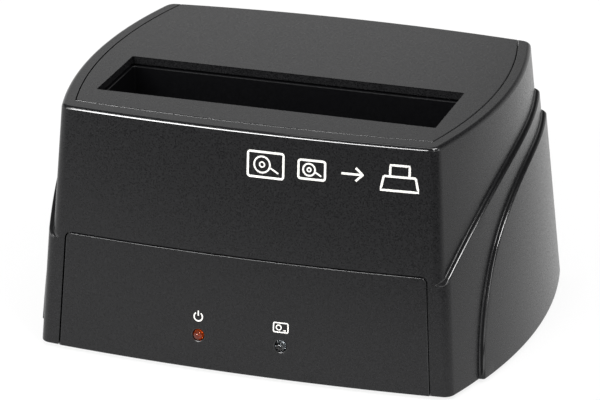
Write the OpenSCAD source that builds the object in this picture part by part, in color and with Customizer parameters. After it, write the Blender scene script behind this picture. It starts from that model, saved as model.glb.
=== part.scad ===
// Docking station for bare hard drives: a drive stands on end in the slot in the top.
// X runs across the front, Y to the back and Z up. The origin is on the floor, under the middle.

/* [Case] */
// Greatest width, at the lower edge
case_w = 149; // [146:0.5:154]
// Depth from the middle of the front to the middle of the back
case_d = 105; // [104:0.5:110]
// Height without the feet
case_h = 73.2; // [70:0.2:84]
// Greatest width of the top
top_w = 129.2; // [127:0.2:133]
// How far the front leans back from its lower to its upper edge
front_lean = 8.2; // [6:0.2:9]
// Radius of the bowed sides
side_r = 160; // [150:5:200]
// Radius of the bowed front
front_r = 650; // [500:10:900]
// Radius of the bowed back
back_r = 480; // [400:10:700]
// Radius of the upright corners
corner_r = 3.5; // [2.5:0.5:4.5]
// Bevel along the upper edges
edge_bevel = 0.6; // [0.4:0.1:0.9]
// Wall thickness of the mouldings
wall = 2.2; // [1.8:0.1:2.4]
// Gap between mouldings at a seam
seam = 0.3; // [0.2:0.05:0.4]
// Width of the lips that lap behind a neighbouring moulding
lip_w = 1.4; // [1:0.1:1.6]
// Thickness of those lips
lip_t = 1.4; // [1:0.1:1.6]

/* [Stepped sides] */
// Height of each of the two steps
side_step = 1.5; // [1:0.1:1.8]
// Height of the upper step at the front corner
upper_front_z = 31; // [30:0.5:36]
// Height of the upper step at the back
upper_back_z = 58.2; // [54:0.2:60]
// Height of the lower step at the back
lower_back_z = 51.6; // [46:0.2:52]
// Distance from the front to where the lower step leaves the lower edge
lower_start = 17.7; // [14:0.5:22]

/* [Panels] */
// Thickness of the top panel
top_t = 2.4; // [2:0.1:2.8]
// Width of the rim in front of the top panel
rim_front = 5.3; // [4.5:0.1:6]
// Width of the rim beside the top panel
rim_side = 4; // [3.6:0.1:4.6]
// Height of the front panel
front_panel_h = 35.2; // [32:0.2:38]
// Width of the front panel at its upper edge
front_panel_w = 110.6; // [106:0.2:112]
// Extra width of the front panel at its lower edge
front_panel_flare = 4.9; // [3:0.1:6]
// Width of the rear panel
rear_panel_w = 110; // [104:1:110]
// Depth of the recessed port bay in the rear panel
bay_depth = 4; // [3.6:0.1:4.4]

/* [Drive slot] */
// Width of the largest drive
drive_w = 101.6; // [100:0.1:101.6]
// Thickness of the largest drive
drive_t = 26.1; // [25:0.1:26.1]
// Room around the drive in the well
drive_gap = 0.7; // [0.5:0.1:0.9]
// How far the slot in the top panel stands back from the well
slot_ledge = 0.5; // [0.3:0.1:0.7]
// Distance from the upper front edge to the middle of the slot
slot_back = 31.7; // [30:0.1:33]
// Wall thickness of the well
well_t = 1.8; // [1.5:0.1:2]
// Offset of the drive's connector from the middle of the drive
connector_offset = 13.4; // [12:0.1:15]

/* [Board and lamps] */
// Width of the main board
board_w = 104; // [100:1:106]
// Thickness of the main board
board_t = 1.6; // [1.2:0.1:2]
// Height of the board's upper face above the lower edge of the case
board_z = 7.2; // [7:0.1:8]
// Diameter of a lamp
led_d = 3; // [2.8:0.1:3.2]
// Distance between the two lamps
led_pitch = 25.4; // [20:0.2:30]
// Height of the lamps above the lower edge of the case
led_z = 10; // [9.8:0.1:11]

/* [Ports and switch] */
// Distance from the middle to the power inlet and to the switch
port_pitch = 26; // [22:1:30]
// Bore of the power inlet
jack_bore_d = 6.3; // [6:0.1:6.5]
// Diameter of the pin in the power inlet
jack_pin_d = 2.1; // [2:0.1:2.5]
// Angle the rocker turns through from off to on
rocker_travel = 20; // [14:1:22]

/* [Base] */
// Thickness of the base plate
base_t = 2.2; // [2:0.1:2.4]
// Height the feet stand below the case
foot_h = 1.2; // [1:0.1:2]
// Diameter of a foot
foot_d = 11; // [9:0.5:12]

/* [Hidden] */
$fn = 48;
// Extra length that carries a cut past the face it goes through
cut = 2;
// Running gap between pieces that pass each other
gap = 0.3;

// Levels
z0 = foot_h;
z1 = foot_h + case_h;
under_top = z1 - top_t;
base_top = z0 + base_t;
board_top = z0 + board_z;
board_bottom = board_top - board_t;

// Sides: the three layers share one bow, whose middle lies a little behind the origin
side_mid = 6;
plain_half = case_w / 2 - 2 * side_step;

// Curves of the two steps: both run level before the back, and their handles are given as
// shares of the run and of the climb
level_run = 20;
upper_start = 4;
upper_leave = [0.329, 0.891];
upper_arrive = 0.652;
lower_leave = [0.092, 1.021];
lower_arrive = 0.686;
sweep_steps = 36;

// Windows in the housing, and how far a lip is rooted behind its own panel
window_reach = 12;
window_r = 2;
lip_root = 2;

// Slot and well
slot_y = -case_d / 2 + front_lean + slot_back;
slot_r = 1;
well_w = drive_w + 2 * drive_gap;
well_d = drive_t + 2 * drive_gap;
well_r = 0.8;
slot_w = well_w + 2 * slot_ledge;
slot_d = well_d + 2 * slot_ledge;
well_drop = 0.5;
well_top = under_top - well_drop;
well_floor_h = 15;
well_floor = z0 + well_floor_h;
seat_w = 4;
seat_h = 1.6;
seat_inset = 3;
leg = 5;
leg_inset = 2;
leg_gap = 0.5;
leg_pitch = 16;
leg_x = well_w / 2 - leg_inset - leg / 2;
leg_spots = [for (x = [-1, 1], y = [-1, 1]) [x * leg_x, slot_y + y * leg_pitch / 2]];

// Ears that hang the well from studs under the top panel
ear_drop = 9;
ear_z = under_top - ear_drop;
ear_t = 3;
ear_out = 4.6;
ear_x = slot_w / 2 + ear_out;
ear_pitch = 16;
ear_margin = 3.2;
ear_r = 2;
ear_spots = [for (x = [-1, 1], y = [-1, 1]) [x * ear_x, slot_y + y * ear_pitch / 2]];
stud_d = 5.6;
stud_bore_l = 8;

// Connector for the drive, whose base faces the back
connector_seat = 3.5;
connector_x = -connector_offset;
connector_y = slot_y + drive_t / 2 - connector_seat;
connector_l = 43.6;
connector_d = 6.2;
connector_h = 14.8;
connector_top = board_top + connector_h;
connector_foot_h = 5;
connector_step = 0.4;
connector_r = 0.4;
connector_gap = 0.5;
guide_w = 2.4;
guide_gap = 0.6;
guide_drop = 1.5;
pin_pitch = 1.27;
signal_pins = 7;
power_pins = 15;
segment_gap = 5 * pin_pitch;
pin_row = (signal_pins + power_pins - 2) * pin_pitch + segment_gap;
socket_depth = 6.5;
socket_d = 2.2;
socket_end = 0.8;
socket_r = 0.2;
key_w = 1.2;
key_d = 1.6;
strip_w = 0.7;
strip_t = 0.35;
strip_drop = 1;

// Rear bay, where the ports open
bay_y = case_d / 2 - bay_depth;
bay_side = 14;
bay_w = 2 * port_pitch + 2 * bay_side;
bay_sill = 4.4;
bay_head = 17;
bay_lo = z0 + bay_sill;
bay_hi = board_top + bay_head;
bay_mid = (bay_lo + bay_hi) / 2;
bay_r = 2;

// Screws, and the play in the bores that they bite into, pass through or sink into
screw_d = 2.4;
screw_l = 12;
screw_head_d = 5.6;
screw_head_h = 1.8;
small_screw_d = 1.8;
small_head_d = 4.6;
small_head_h = 1.6;
board_screw_l = 4.6;
well_screw_l = 9;
thread_play = 0.1;
shank_play = 0.8;
head_play = 0.6;

// Screw columns in the four corners of the case, standing on towers of the base
boss_d = 8;
boss_h = 30;
boss_front_inset = 17;
boss_back_inset = 14.5;
boss_side_inset = 5.7;
boss_front = -case_d / 2 + boss_front_inset;
boss_back = case_d / 2 - boss_back_inset;
boss_bore_l = 14;
rib_l = 12;
rib_t = 2;
tower_d = 9;
tower_h = 6.4;
tower_seat = 2;
bosses = [for (x = [-1, 1], y = [boss_front, boss_back]) [x * (side_x(y, z0) - wall - boss_side_inset), y]];

// Board outline, its posts and the clearance it keeps round the towers
board_setback = 7.2;
board_front = -case_d / 2 + board_setback;
board_back = bay_y - wall - gap;
board_r = 1.5;
board_tower_gap = 0.5;
post_d = 6;
post_side_inset = 5;
post_front_step = 7;
post_back_step = 10;
post_x = board_w / 2 - post_side_inset;
posts = [for (x = [-1, 1], y = [boss_front + post_front_step, boss_back - post_back_step]) [x * post_x, y]];

// Feet and vents
foot_recess = 0.8;
foot_inset = 22.5;
foot_step = 12;
foot_edge = 0.4;
foot_x = case_w / 2 - foot_inset;
feet = [for (x = [-1, 1], y = [boss_front + foot_step, boss_back - foot_step]) [x * foot_x, y]];
vent_w = 2.4;
vent_l = 34;
vent_pitch = 8;
vent_y = 24;
vent_r = 1;

// Switch: the rocker turns on upright pins behind its face
switch_x = port_pitch;
switch_w = 15;
switch_h = 10;
switch_depth = 13;
switch_proud = 0.8;
switch_face = bay_y + switch_proud;
switch_z = board_top + switch_h / 2;
rocker_half = 5.2;
rocker_h = 7;
rocker_pivot = 3;
rocker_crown = 1.2;
rocker_saddle = 0.2;
rocker_taper = 0.8;
rocker_low = 1;
rocker_pin_d = 2;
rocker_pin_l = 0.9;
rocker_pin_play = 0.1;
rocker_pin_end = 0.2;
rocker_room = 6.3;
rocker_pit = 5.8;
terminal_w = 0.8;
terminal_t = 0.6;
terminal_pitch = 4.7;
terminal_below = 1.2;
terminal_up = 3.8;
terminal_play = 0.2;
terminal_y = switch_face - switch_depth - terminal_t / 2;
terminals = [for (i = [-1:1]) [switch_x + i * terminal_pitch, terminal_y]];

// Data port outline, measured inside the shell, and its two tongues
usb_x = 0;
usb_half = 4.25;
usb_neck = 2.9;
usb_shoulder_lo = 6.2;
usb_shoulder_hi = 7.8;
usb_h = 10.6;
usb_wall = 0.4;
usb_l = 17;
usb_proud = 0.5;
usb_face = bay_y + usb_proud;
usb_floor = board_top + usb_wall;
usb_block_l = 8;
usb_block_y = usb_face - usb_l + usb_wall;
tongue_l = 7.6;
tongue_w = 5.6;
tongue_z = 2.3;
tongue_t = 3;
head_w = 4.6;
head_z = 8.5;
head_t = 1.2;
usb_pin_l = 6;
usb_pin_t = 0.2;
usb_pin_w = 1;
usb_pin_pitch = 2.5;
fine_pin_w = 0.4;
fine_pin_pitch = 0.85;

// Power inlet
jack_x = -port_pitch;
jack_w = 9;
jack_h = 11;
jack_l = 13;
jack_r = 0.5;
jack_nose_d = 8.4;
jack_nose_root = 1;
jack_proud = 0.3;
jack_face = bay_y + jack_proud;
jack_mid = 6.4;
jack_z = board_top + jack_mid;
jack_depth = 9.5;
jack_pin_short = 1.8;
jack_pin_tip = 0.6;

// Lamps, their stands and wires
lamp_z = z0 + led_z;
led_l = 5.3;
led_flange = 0.4;
led_flange_t = 1;
led_proud = 1.1;
led_tip = front_y(led_pitch / 2, lamp_z) - led_proud;
led_back = led_tip + led_l;
led_gap = 0.5;
lead_t = 0.5;
lead_pitch = 1.27;
lead_play = 0.1;
lead_set = 0.6;
holder_l = 4;
holder_w = 4.2;
holder_over = 2;

// Parts on the board, placed from its side edges and from the back of the well
parts_y = slot_y + well_d / 2 + well_t;
part_lift = 0.1;
chip_side = 10;
chip_h = 1.4;
chip_legs = 12;
chip_leg_pitch = 0.72;
chip_leg_w = 0.28;
chip_leg_l = 1;
chip_leg_h = 0.5;
chip_inset = 30;
chip_row = 4;
flash_w = 4;
flash_l = 5;
flash_h = 1.5;
flash_leg_pitch = 1.27;
flash_leg_w = 0.4;
flash_leg_l = 1;
flash_leg_h = 0.6;
flash_inset = 16;
flash_row = 6;
crystal_l = 11;
crystal_w = 4.6;
crystal_h = 3.6;
crystal_rim = 0.4;
crystal_rim_h = 0.6;
crystal_row = 15;
reg_w = 6.5;
reg_d = 3.5;
reg_h = 1.6;
reg_tab_w = 3;
reg_tab_l = 1.8;
reg_leg_w = 0.7;
reg_leg_l = 1.65;
reg_leg_h = 0.6;
reg_leg_pitch = 2.3;
reg_inset = 38;
reg_row = 11;
coil_w = 7.3;
coil_h = 3.4;
coil_r = 1.2;
coil_cup_d = 4.4;
coil_cup = 0.4;
coil_inset = 26;
coil_row = 9;
cap_d = 6.3;
cap_h = 7.2;
cap_edge = 0.3;
cap_base = 6.6;
cap_base_h = 0.8;
cap_base_r = 0.8;
cap_inset = 6;
cap_row = 5;
cap_pitch_x = 8;
cap_pitch_y = 9;

// Colours of the mouldings and metals
shell_black = "#303134";
inner_black = "#1c1d1f";
part_black = "#151517";
steel = "#b9bcc0";
gold = "#c9a23f";

function rise(z) = (z - z0) / case_h;
function side_radius(z) = side_r - (plain_half - top_w / 2) * rise(z);
function front_radius(z) = front_r - front_lean * rise(z);
function side_x(y, z) = plain_half - side_r + sqrt(pow(side_radius(z), 2) - pow(y - side_mid, 2));
function front_y(x, z) = -case_d / 2 + front_r - sqrt(pow(front_radius(z), 2) - x * x);
function bezier(p, s) = pow(1 - s, 3) * p[0] + 3 * pow(1 - s, 2) * s * p[1]
    + 3 * (1 - s) * s * s * p[2] + pow(s, 3) * p[3];
function sweep(start, run, lo, hi, leave, arrive) =
    let (p = [[start, lo], [start + run * leave[0], lo + (hi - lo) * leave[1]],
              [start + run * arrive, hi], [start + run, hi]])
    [for (i = [0:sweep_steps]) bezier(p, i / sweep_steps)];

// Where two circles meet, on the side that is to the right of the way from the first to the second
function circles_meet(c1, r1, c2, r2) =
    let (way = c2 - c1, d = norm(way), along = (r1 * r1 - r2 * r2 + d * d) / (2 * d))
    c1 + way / d * along + [way[1], -way[0]] / d * sqrt(r1 * r1 - along * along);

// Where two lines meet, each given by the angle of its normal and its distance from the origin
function lines_meet(a1, d1, a2, d2) =
    [d1 * sin(a2) - d2 * sin(a1), d2 * cos(a1) - d1 * cos(a2)] / sin(a2 - a1);

// Middles of the rounded right-hand corners at a level
function side_centre() = [plain_half - side_r, side_mid];
function front_corner(z, layer) =
    circles_meet(side_centre(), side_radius(z) + layer * side_step - corner_r,
                 [0, -case_d / 2 + front_r], front_radius(z) - corner_r);
function back_corner(z, layer) =
    circles_meet([0, case_d / 2 - back_r], back_r - corner_r,
                 side_centre(), side_radius(z) + layer * side_step - corner_r);

// Lines that touch the rounded corners at a level, as [angle, distance], once round the case
corner_angles = [for (i = [1:4]) 15 * i];
function corner_lines(z, layer) =
    let (f = front_corner(z, layer), b = back_corner(z, layer))
    concat([for (a = corner_angles) [a - 88, f * [cos(a - 88), sin(a - 88)] + corner_r]],
           [for (a = corner_angles) [a + 13, b * [cos(a + 13), sin(a + 13)] + corner_r]]);
function corner_outline(z, layer) =
    let (right = corner_lines(z, layer), n = len(right),
         left = [for (i = [n - 1:-1:0]) [180 - right[i][0], right[i][1]]], all = concat(right, left))
    [for (i = [0:2 * n - 1]) let (j = (i + 1) % (2 * n))
        lines_meet(all[i][0], all[i][1], all[j][0], all[j][1])];

// Both bowed sides of one layer, leaning in towards the top
module side_cones(layer = 0, inset = 0, lo = z0, hi = z1) {
    grow = layer * side_step - inset;
    intersection() {
        translate([plain_half - side_r, side_mid, lo])
            cylinder(r1 = side_radius(lo) + grow, r2 = side_radius(hi) + grow, h = hi - lo, $fn = 800);
        translate([side_r - plain_half, side_mid, lo])
            cylinder(r1 = side_radius(lo) + grow, r2 = side_radius(hi) + grow, h = hi - lo, $fn = 800);
    }
}

// Bowed front, leaning back towards the top
module front_cone(inset = 0, lo = z0, hi = z1) {
    translate([0, -case_d / 2 + front_r, lo])
        cylinder(r1 = front_radius(lo) - inset, r2 = front_radius(hi) - inset, h = hi - lo, $fn = 2400);
}

// Bowed upright back
module back_round(inset = 0, lo = z0, hi = z1) {
    translate([0, case_d / 2 - back_r, lo]) cylinder(r = back_r - inset, h = hi - lo, $fn = 2000);
}

// Slope that falls away from the upper edges all round
module top_bevel() {
    lo = z0 - cut;
    h = case_h + 2 * cut;
    side = side_radius(z1) - edge_bevel - cut;
    front = front_radius(z1) - edge_bevel - cut;
    back = back_r - edge_bevel - cut;
    intersection() {
        translate([plain_half - side_r, side_mid, lo]) cylinder(r1 = side + h, r2 = side, h = h, $fn = 800);
        translate([side_r - plain_half, side_mid, lo]) cylinder(r1 = side + h, r2 = side, h = h, $fn = 800);
        translate([0, -case_d / 2 + front_r, lo]) cylinder(r1 = front + h, r2 = front, h = h, $fn = 2400);
        translate([0, case_d / 2 - back_r, lo]) cylinder(r1 = back + h, r2 = back, h = h, $fn = 2000);
    }
}

// Facets that round off the four upright corners of one layer
module corner_facets(layer) {
    lo = z0 - cut;
    hi = z1 + cut;
    hull() {
        translate([0, 0, lo - cut]) linear_extrude(cut) polygon(corner_outline(lo, layer));
        translate([0, 0, hi]) linear_extrude(cut) polygon(corner_outline(hi, layer));
    }
}

// Sides of one layer with its corners rounded off
module layer_form(layer) {
    intersection() {
        side_cones(layer);
        corner_facets(layer);
    }
}

// Space inside walls of even thickness
module case_hollow(inset, lo, hi) {
    intersection() {
        side_cones(0, inset, lo, hi);
        front_cone(inset, lo, hi);
        back_round(inset, lo, hi);
    }
}

// Everything below a curve in the side view, right across the case
module below_curve(points) {
    first = points[0];
    last = points[len(points) - 1];
    outline = concat([[first[0], -cut], [first[0], 0]], points, [[case_d, last[1]], [case_d, -cut]]);
    translate([-case_w, 0, z0]) rotate([90, 0, 90]) linear_extrude(2 * case_w) polygon(outline);
}

// Upper step: rises from the front corner and levels out towards the back
module upper_sweep() {
    start = -case_d / 2 + upper_start;
    run = case_d - upper_start - level_run;
    climb = sweep(start, run, upper_front_z, upper_back_z, upper_leave, upper_arrive);
    below_curve(concat([[-case_d, upper_front_z]], climb));
}

// Lower step: leaves the lower edge nearly upright and levels out below the upper one
module lower_sweep() {
    start = -case_d / 2 + lower_start;
    run = case_d - lower_start - level_run;
    below_curve(sweep(start, run, 0, lower_back_z, lower_leave, lower_arrive));
}

// Outline of the top panel, grown or shrunk, running out past the back
module top_outline(grow = 0) {
    side = side_radius(z1) - rim_side + grow;
    intersection() {
        translate([plain_half - side_r, side_mid]) circle(side, $fn = 800);
        translate([side_r - plain_half, side_mid]) circle(side, $fn = 800);
        translate([0, -case_d / 2 + front_r]) circle(front_radius(z1) - rim_front + grow, $fn = 2400);
    }
}

// Window for the front panel, cut through the lower front
module front_window(grow = 0) {
    hi = front_panel_h + grow;
    top_half = front_panel_w / 2 + grow;
    low_half = top_half + front_panel_flare / 2;
    reach = front_lean + window_reach;
    translate([0, -case_d / 2 + reach, z0]) rotate([90, 0, 0])
        linear_extrude(reach + cut) offset(r = window_r, $fn = 32) offset(delta = -window_r)
            polygon([[-low_half, -3 * cut], [low_half, -3 * cut], [top_half, hi], [-top_half, hi]]);
}

// Opening in the back for the rear panel
module rear_window(grow = 0) {
    w = rear_panel_w + 2 * grow;
    translate([-w / 2, case_d / 2 - window_reach, z0 - cut])
        cube([w, window_reach + cut, under_top - z0 + cut]);
}

// Upright slab of the back's bow between two depths
module back_skin(inset, thick, lo, hi) {
    difference() {
        back_round(inset, lo, hi);
        back_round(inset + thick, lo - cut, hi + cut);
    }
}

// Block with rounded upright edges, centred in X and Y
module rounded_block(w, d, h, r) {
    linear_extrude(h) rounded_rect(w, d, r);
}

module rounded_rect(w, d, r) {
    square([w - 2 * r, d], center = true);
    square([w, d - 2 * r], center = true);
    for (x = [-1, 1], y = [-1, 1])
        translate([x * (w / 2 - r), y * (d / 2 - r)]) circle(r);
}

// Places what follows at a spot on a level
module at(spot, z) {
    translate([spot[0], spot[1], z]) children();
}

// Stands what follows on its side, pointing to the back
module facing_back(place) {
    translate(place) rotate([-90, 0, 0]) children();
}

// Screw with a domed head that points down, its shank rising from the origin
module screw(shank_d, shank_l, head_d, head_h) {
    cross_l = 0.6 * head_d;
    cross_w = 0.15 * head_d;
    cross_depth = 0.6 * head_h;
    cylinder(d = shank_d, h = shank_l);
    difference() {
        translate([0, 0, -head_h]) cylinder(d1 = 0.72 * head_d, d2 = head_d, h = head_h);
        for (a = [0, 90]) rotate(a) translate([-cross_l / 2, -cross_w / 2, -head_h - cut])
            cube([cross_l, cross_w, cut + cross_depth]);
    }
}

// Main shell: open below, with windows for the front, rear and top panels
module housing() {
    color(shell_black) difference() {
        intersection() {
            union() {
                layer_form(0);
                intersection() {
                    layer_form(1);
                    upper_sweep();
                }
                intersection() {
                    layer_form(2);
                    lower_sweep();
                }
            }
            front_cone();
            back_round();
            top_bevel();
        }
        difference() {
            case_hollow(wall, z0 - cut, under_top);
            housing_bosses();
        }
        translate([0, 0, under_top - cut]) linear_extrude(top_t + 2 * cut) top_outline(seam);
        front_window(seam);
        rear_window(seam);
        for (b = bosses) at(b, z0 + tower_h - cut)
            cylinder(d = screw_d + thread_play, h = boss_bore_l + cut);
    }
}

// Columns that the base screws bite into, each tied to the side wall by a rib
module housing_bosses() {
    for (b = bosses) at(b, z0 + tower_h) {
        cylinder(d = boss_d, h = boss_h);
        translate([b[0] > 0 ? 0 : -rib_l, -rib_t / 2, 0]) cube([rib_l, rib_t, boss_h]);
    }
}

// Plate let into the top, with the drive slot and four studs that carry the well
module top_panel() {
    lap_z = under_top - seam - lip_t;
    rear_clear = wall + lip_t + 3 * gap;
    color(shell_black) difference() {
        union() {
            intersection() {
                translate([0, 0, lap_z]) linear_extrude(top_t + seam + lip_t) top_outline();
                back_round(0, z0, z1 + cut);
                top_bevel();
            }
            translate([0, 0, lap_z]) intersection() {
                linear_extrude(lip_t) top_outline(lip_w);
                back_round(rear_clear, 0, lip_t);
            }
            for (e = ear_spots) at(e, ear_z) cylinder(d = stud_d, h = under_top - ear_z);
        }
        at([0, slot_y], z1 - cut - top_t) rounded_block(slot_w, slot_d, top_t + 2 * cut, slot_r);
        intersection() {
            translate([0, 0, lap_z - cut]) linear_extrude(seam + lip_t + cut) top_outline(-lip_root);
            back_round(rear_clear, lap_z - cut, under_top);
            top_panel_hollow();
        }
        translate([0, 0, lap_z - cut]) rear_notch();
        for (e = ear_spots) at(e, ear_z - cut)
            cylinder(d = small_screw_d + thread_play, h = stud_bore_l + cut);
    }
}

// Space under the top panel, less the studs that stand in it
module top_panel_hollow() {
    difference() {
        translate([-case_w, -case_d, z0]) cube([2 * case_w, 2 * case_d, case_h]);
        for (e = ear_spots) at(e, z0) cylinder(d = stud_d, h = case_h);
    }
}

// Room behind the top panel's edge for the upper edge of the rear panel
module rear_notch() {
    difference() {
        translate([-case_w, 0, -cut]) cube([2 * case_w, case_d, 2 * cut + seam + lip_t]);
        back_round(wall + gap, -2 * cut, 4 * cut);
    }
}

// Plate let into the lower front, with a lip behind the housing and two lamp holes
module front_panel() {
    color(shell_black) difference() {
        union() {
            intersection() {
                front_cone();
                front_window();
            }
            intersection() {
                case_hollow(wall + seam, z0, z1);
                front_window(lip_w);
            }
        }
        front_cone(wall + seam + lip_t, z0 - cut, z1 + cut);
        intersection() {
            front_cone(wall, z0 - cut, z1);
            front_window(-lip_root);
        }
        front_cone(wall, z0 - cut, base_top + gap);
        for (x = [-1, 1]) facing_back([x * led_pitch / 2, -case_d / 2 - cut, lamp_z])
            cylinder(d = led_d + 2 * led_gap, h = window_reach);
    }
}

// Back of the case, with a recessed bay for the ports
module rear_panel() {
    top = under_top - seam;
    lip_lo = base_top + gap;
    lip_hi = top - lip_t - 2 * seam;
    color(shell_black) difference() {
        union() {
            intersection() {
                back_skin(0, wall, z0, top);
                rear_window();
            }
            intersection() {
                back_skin(wall + seam, lip_t, lip_lo, lip_hi);
                rear_window(lip_w);
                side_cones(0, wall + seam);
            }
            intersection() {
                back_skin(wall - seam, 2 * seam, lip_lo, lip_hi);
                rear_window();
            }
            facing_back([0, bay_y - wall, bay_mid]) bay_block(wall, bay_depth);
        }
        intersection() {
            back_skin(wall, wall + lip_t, z0, top);
            rear_window(-lip_root);
            rear_panel_hollow();
        }
        facing_back([0, bay_y, bay_mid]) bay_block(0, bay_depth + cut);
        rear_cutouts();
    }
}

// Outline of the bay, grown all round and drawn out to a depth
module bay_block(grow, depth) {
    rounded_block(bay_w + 2 * grow, bay_hi - bay_lo + 2 * grow, depth, bay_r + grow);
}

// Space behind the rear panel that is clear of the bay's walls
module rear_panel_hollow() {
    difference() {
        translate([-case_w, 0, 0]) cube([2 * case_w, case_d, z1]);
        facing_back([0, 0, bay_mid]) bay_block(wall, case_d);
    }
}

// Holes in the bay for the inlet's nose, the data port and the switch
module rear_cutouts() {
    facing_back([jack_x, bay_y - 2 * wall, jack_z]) cylinder(d = jack_nose_d + 2 * gap, h = 4 * wall);
    translate([usb_x, bay_y + 2 * wall, usb_floor]) rotate([90, 0, 0])
        linear_extrude(4 * wall) offset(delta = usb_wall + gap) usb_profile();
    translate([switch_x, bay_y, switch_z])
        cube([switch_w + 2 * gap, 4 * wall, switch_h + 2 * gap], center = true);
}

// Bottom cover: screw towers, board posts, foot recesses and vents
module base_plate() {
    color(inner_black) difference() {
        union() {
            case_hollow(wall + seam, z0, base_top);
            for (b = bosses) at(b, z0) cylinder(d = tower_d, h = tower_h);
            for (p = posts) at(p, z0) cylinder(d = post_d, h = board_bottom - z0);
        }
        for (b = bosses) at(b, z0 - cut) {
            cylinder(d = screw_d + shank_play, h = tower_h + 2 * cut);
            cylinder(d = screw_head_d + head_play, h = tower_h - tower_seat + cut);
        }
        for (p = posts) at(p, base_top) cylinder(d = small_screw_d + thread_play, h = board_z);
        for (f = feet) at(f, z0 - cut) cylinder(d = foot_d + 2 * gap, h = cut + foot_recess);
        for (i = [-4:4]) at([i * vent_pitch, vent_y], z0 - cut)
            rounded_block(vent_w, vent_l, base_t + 2 * cut, vent_r);
    }
}

// Sleeve under the slot: guides the drive down onto the connector
module drive_well() {
    outer_w = well_w + 2 * well_t;
    outer_d = well_d + 2 * well_t;
    color(inner_black) difference() {
        union() {
            at([0, slot_y], well_floor - well_t)
                rounded_block(outer_w, outer_d, well_top - well_floor + well_t, well_r + well_t / 2);
            for (x = [-1, 1]) well_ear(x);
            for (l = leg_spots) at(l, base_top) rounded_block(leg, leg, well_floor - base_top, leg_gap);
        }
        at([0, slot_y], well_floor) difference() {
            rounded_block(well_w, well_d, case_h, well_r);
            well_seats();
        }
        at([connector_x, connector_y], well_floor - well_t - cut)
            rounded_block(connector_l + 2 * connector_gap, connector_d + 2 * connector_gap,
                          2 * cut + 2 * well_t, connector_r);
        for (e = ear_spots) at(e, ear_z - ear_t - cut)
            cylinder(d = small_screw_d + shank_play, h = ear_t + 2 * cut);
    }
}

// Ear at one end of the well, screwed up against the top panel's studs
module well_ear(side) {
    reach = ear_x - well_w / 2 + ear_margin;
    at([side * (well_w + reach) / 2, slot_y], ear_z - ear_t)
        rounded_block(reach, ear_pitch + 2 * ear_margin, ear_t, ear_r);
}

// Low pads that the drive's end stands on
module well_seats() {
    seat_x = well_w / 2 - seat_inset - seat_w / 2;
    for (x = [-1, 1]) at([x * seat_x, 0], 0) rounded_block(seat_w, well_d - 2 * seat_inset, seat_h, leg_gap);
}

// Circuit board, cut clear of the towers, the well's legs and the switch's terminals
module main_board() {
    through = board_t + 2 * cut;
    color("#1f5a35") translate([0, 0, board_bottom]) difference() {
        at([0, (board_front + board_back) / 2], 0)
            rounded_block(board_w, board_back - board_front, board_t, board_r);
        for (p = posts) at(p, -cut) cylinder(d = small_screw_d + shank_play, h = through);
        for (b = bosses) at(b, -cut) cylinder(d = tower_d + 2 * board_tower_gap, h = through);
        for (l = leg_spots) at(l, -cut)
            rounded_block(leg + 2 * leg_gap, leg + 2 * leg_gap, through, leg_gap);
        for (t = terminals) at(t, -cut)
            upright_bar(terminal_w + 2 * terminal_play, terminal_t + 2 * terminal_play, through);
    }
}

// Upright receptacle: a signal socket and a power socket in one row
module sata_connector() {
    body_l = connector_l - 2 * (guide_w + guide_gap);
    body_d = connector_d - 2 * connector_step;
    guide_x = (connector_l - guide_w) / 2;
    color(part_black) at([connector_x, connector_y], board_top) difference() {
        union() {
            rounded_block(connector_l, connector_d, connector_foot_h, connector_r);
            rounded_block(body_l, body_d, connector_h, connector_r);
            for (x = [-1, 1]) at([x * guide_x, 0], 0)
                rounded_block(guide_w, body_d - 2 * connector_step, connector_h - guide_drop, connector_r);
        }
        at([signal_mid(), 0], connector_h - socket_depth) sata_socket(signal_pins, 1);
        at([power_mid(), 0], connector_h - socket_depth) sata_socket(power_pins, -1);
    }
}

function signal_mid() = -pin_row / 2 + (signal_pins - 1) * pin_pitch / 2;
function power_mid() = pin_row / 2 - (power_pins - 1) * pin_pitch / 2;

// Slot with an L-shaped key at one end
module sata_socket(pins, key_side) {
    l = pins * pin_pitch + 2 * socket_end;
    rounded_block(l, socket_d, socket_depth + cut, socket_r);
    at([key_side * (l - key_w) / 2, -socket_d / 2 - key_d / 4], 0)
        rounded_block(key_w, key_d, socket_depth + cut, socket_r);
}

// Contact strips standing on the floors of both sockets
module sata_contacts() {
    color(gold) at([connector_x, connector_y + (socket_d - strip_t) / 2], connector_top - socket_depth) {
        at([signal_mid(), 0], 0) strip_row(signal_pins);
        at([power_mid(), 0], 0) strip_row(power_pins);
    }
}

// Row of contact strips, centred
module strip_row(pins) {
    for (i = [0:pins - 1]) at([(i - (pins - 1) / 2) * pin_pitch, 0], 0)
        upright_bar(strip_w, strip_t, socket_depth - strip_drop);
}

// Inside outline of the data port: a square foot with cut shoulders and a narrower head
module usb_profile() {
    polygon([[-usb_half, 0], [usb_half, 0], [usb_half, usb_shoulder_lo], [usb_neck, usb_shoulder_hi],
             [usb_neck, usb_h], [-usb_neck, usb_h], [-usb_neck, usb_shoulder_hi],
             [-usb_half, usb_shoulder_lo]]);
}

// Folded steel shell of the data port
module usb_shell() {
    color(steel) translate([usb_x, usb_face, usb_floor]) rotate([90, 0, 0]) difference() {
        linear_extrude(usb_l) offset(delta = usb_wall) usb_profile();
        translate([0, 0, -cut]) linear_extrude(usb_l + cut - usb_wall) usb_profile();
    }
}

// Insulator of the data port: a block at the back with two tongues
module usb_insulator() {
    color("#2460b5") translate([usb_x, usb_block_y, usb_floor]) {
        mirror([0, 1, 0]) rotate([90, 0, 0]) linear_extrude(usb_block_l) usb_profile();
        translate([-tongue_w / 2, 0, tongue_z]) cube([tongue_w, usb_block_l + tongue_l, tongue_t]);
        translate([-head_w / 2, 0, head_z]) cube([head_w, usb_block_l + tongue_l, head_t]);
    }
}

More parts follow.
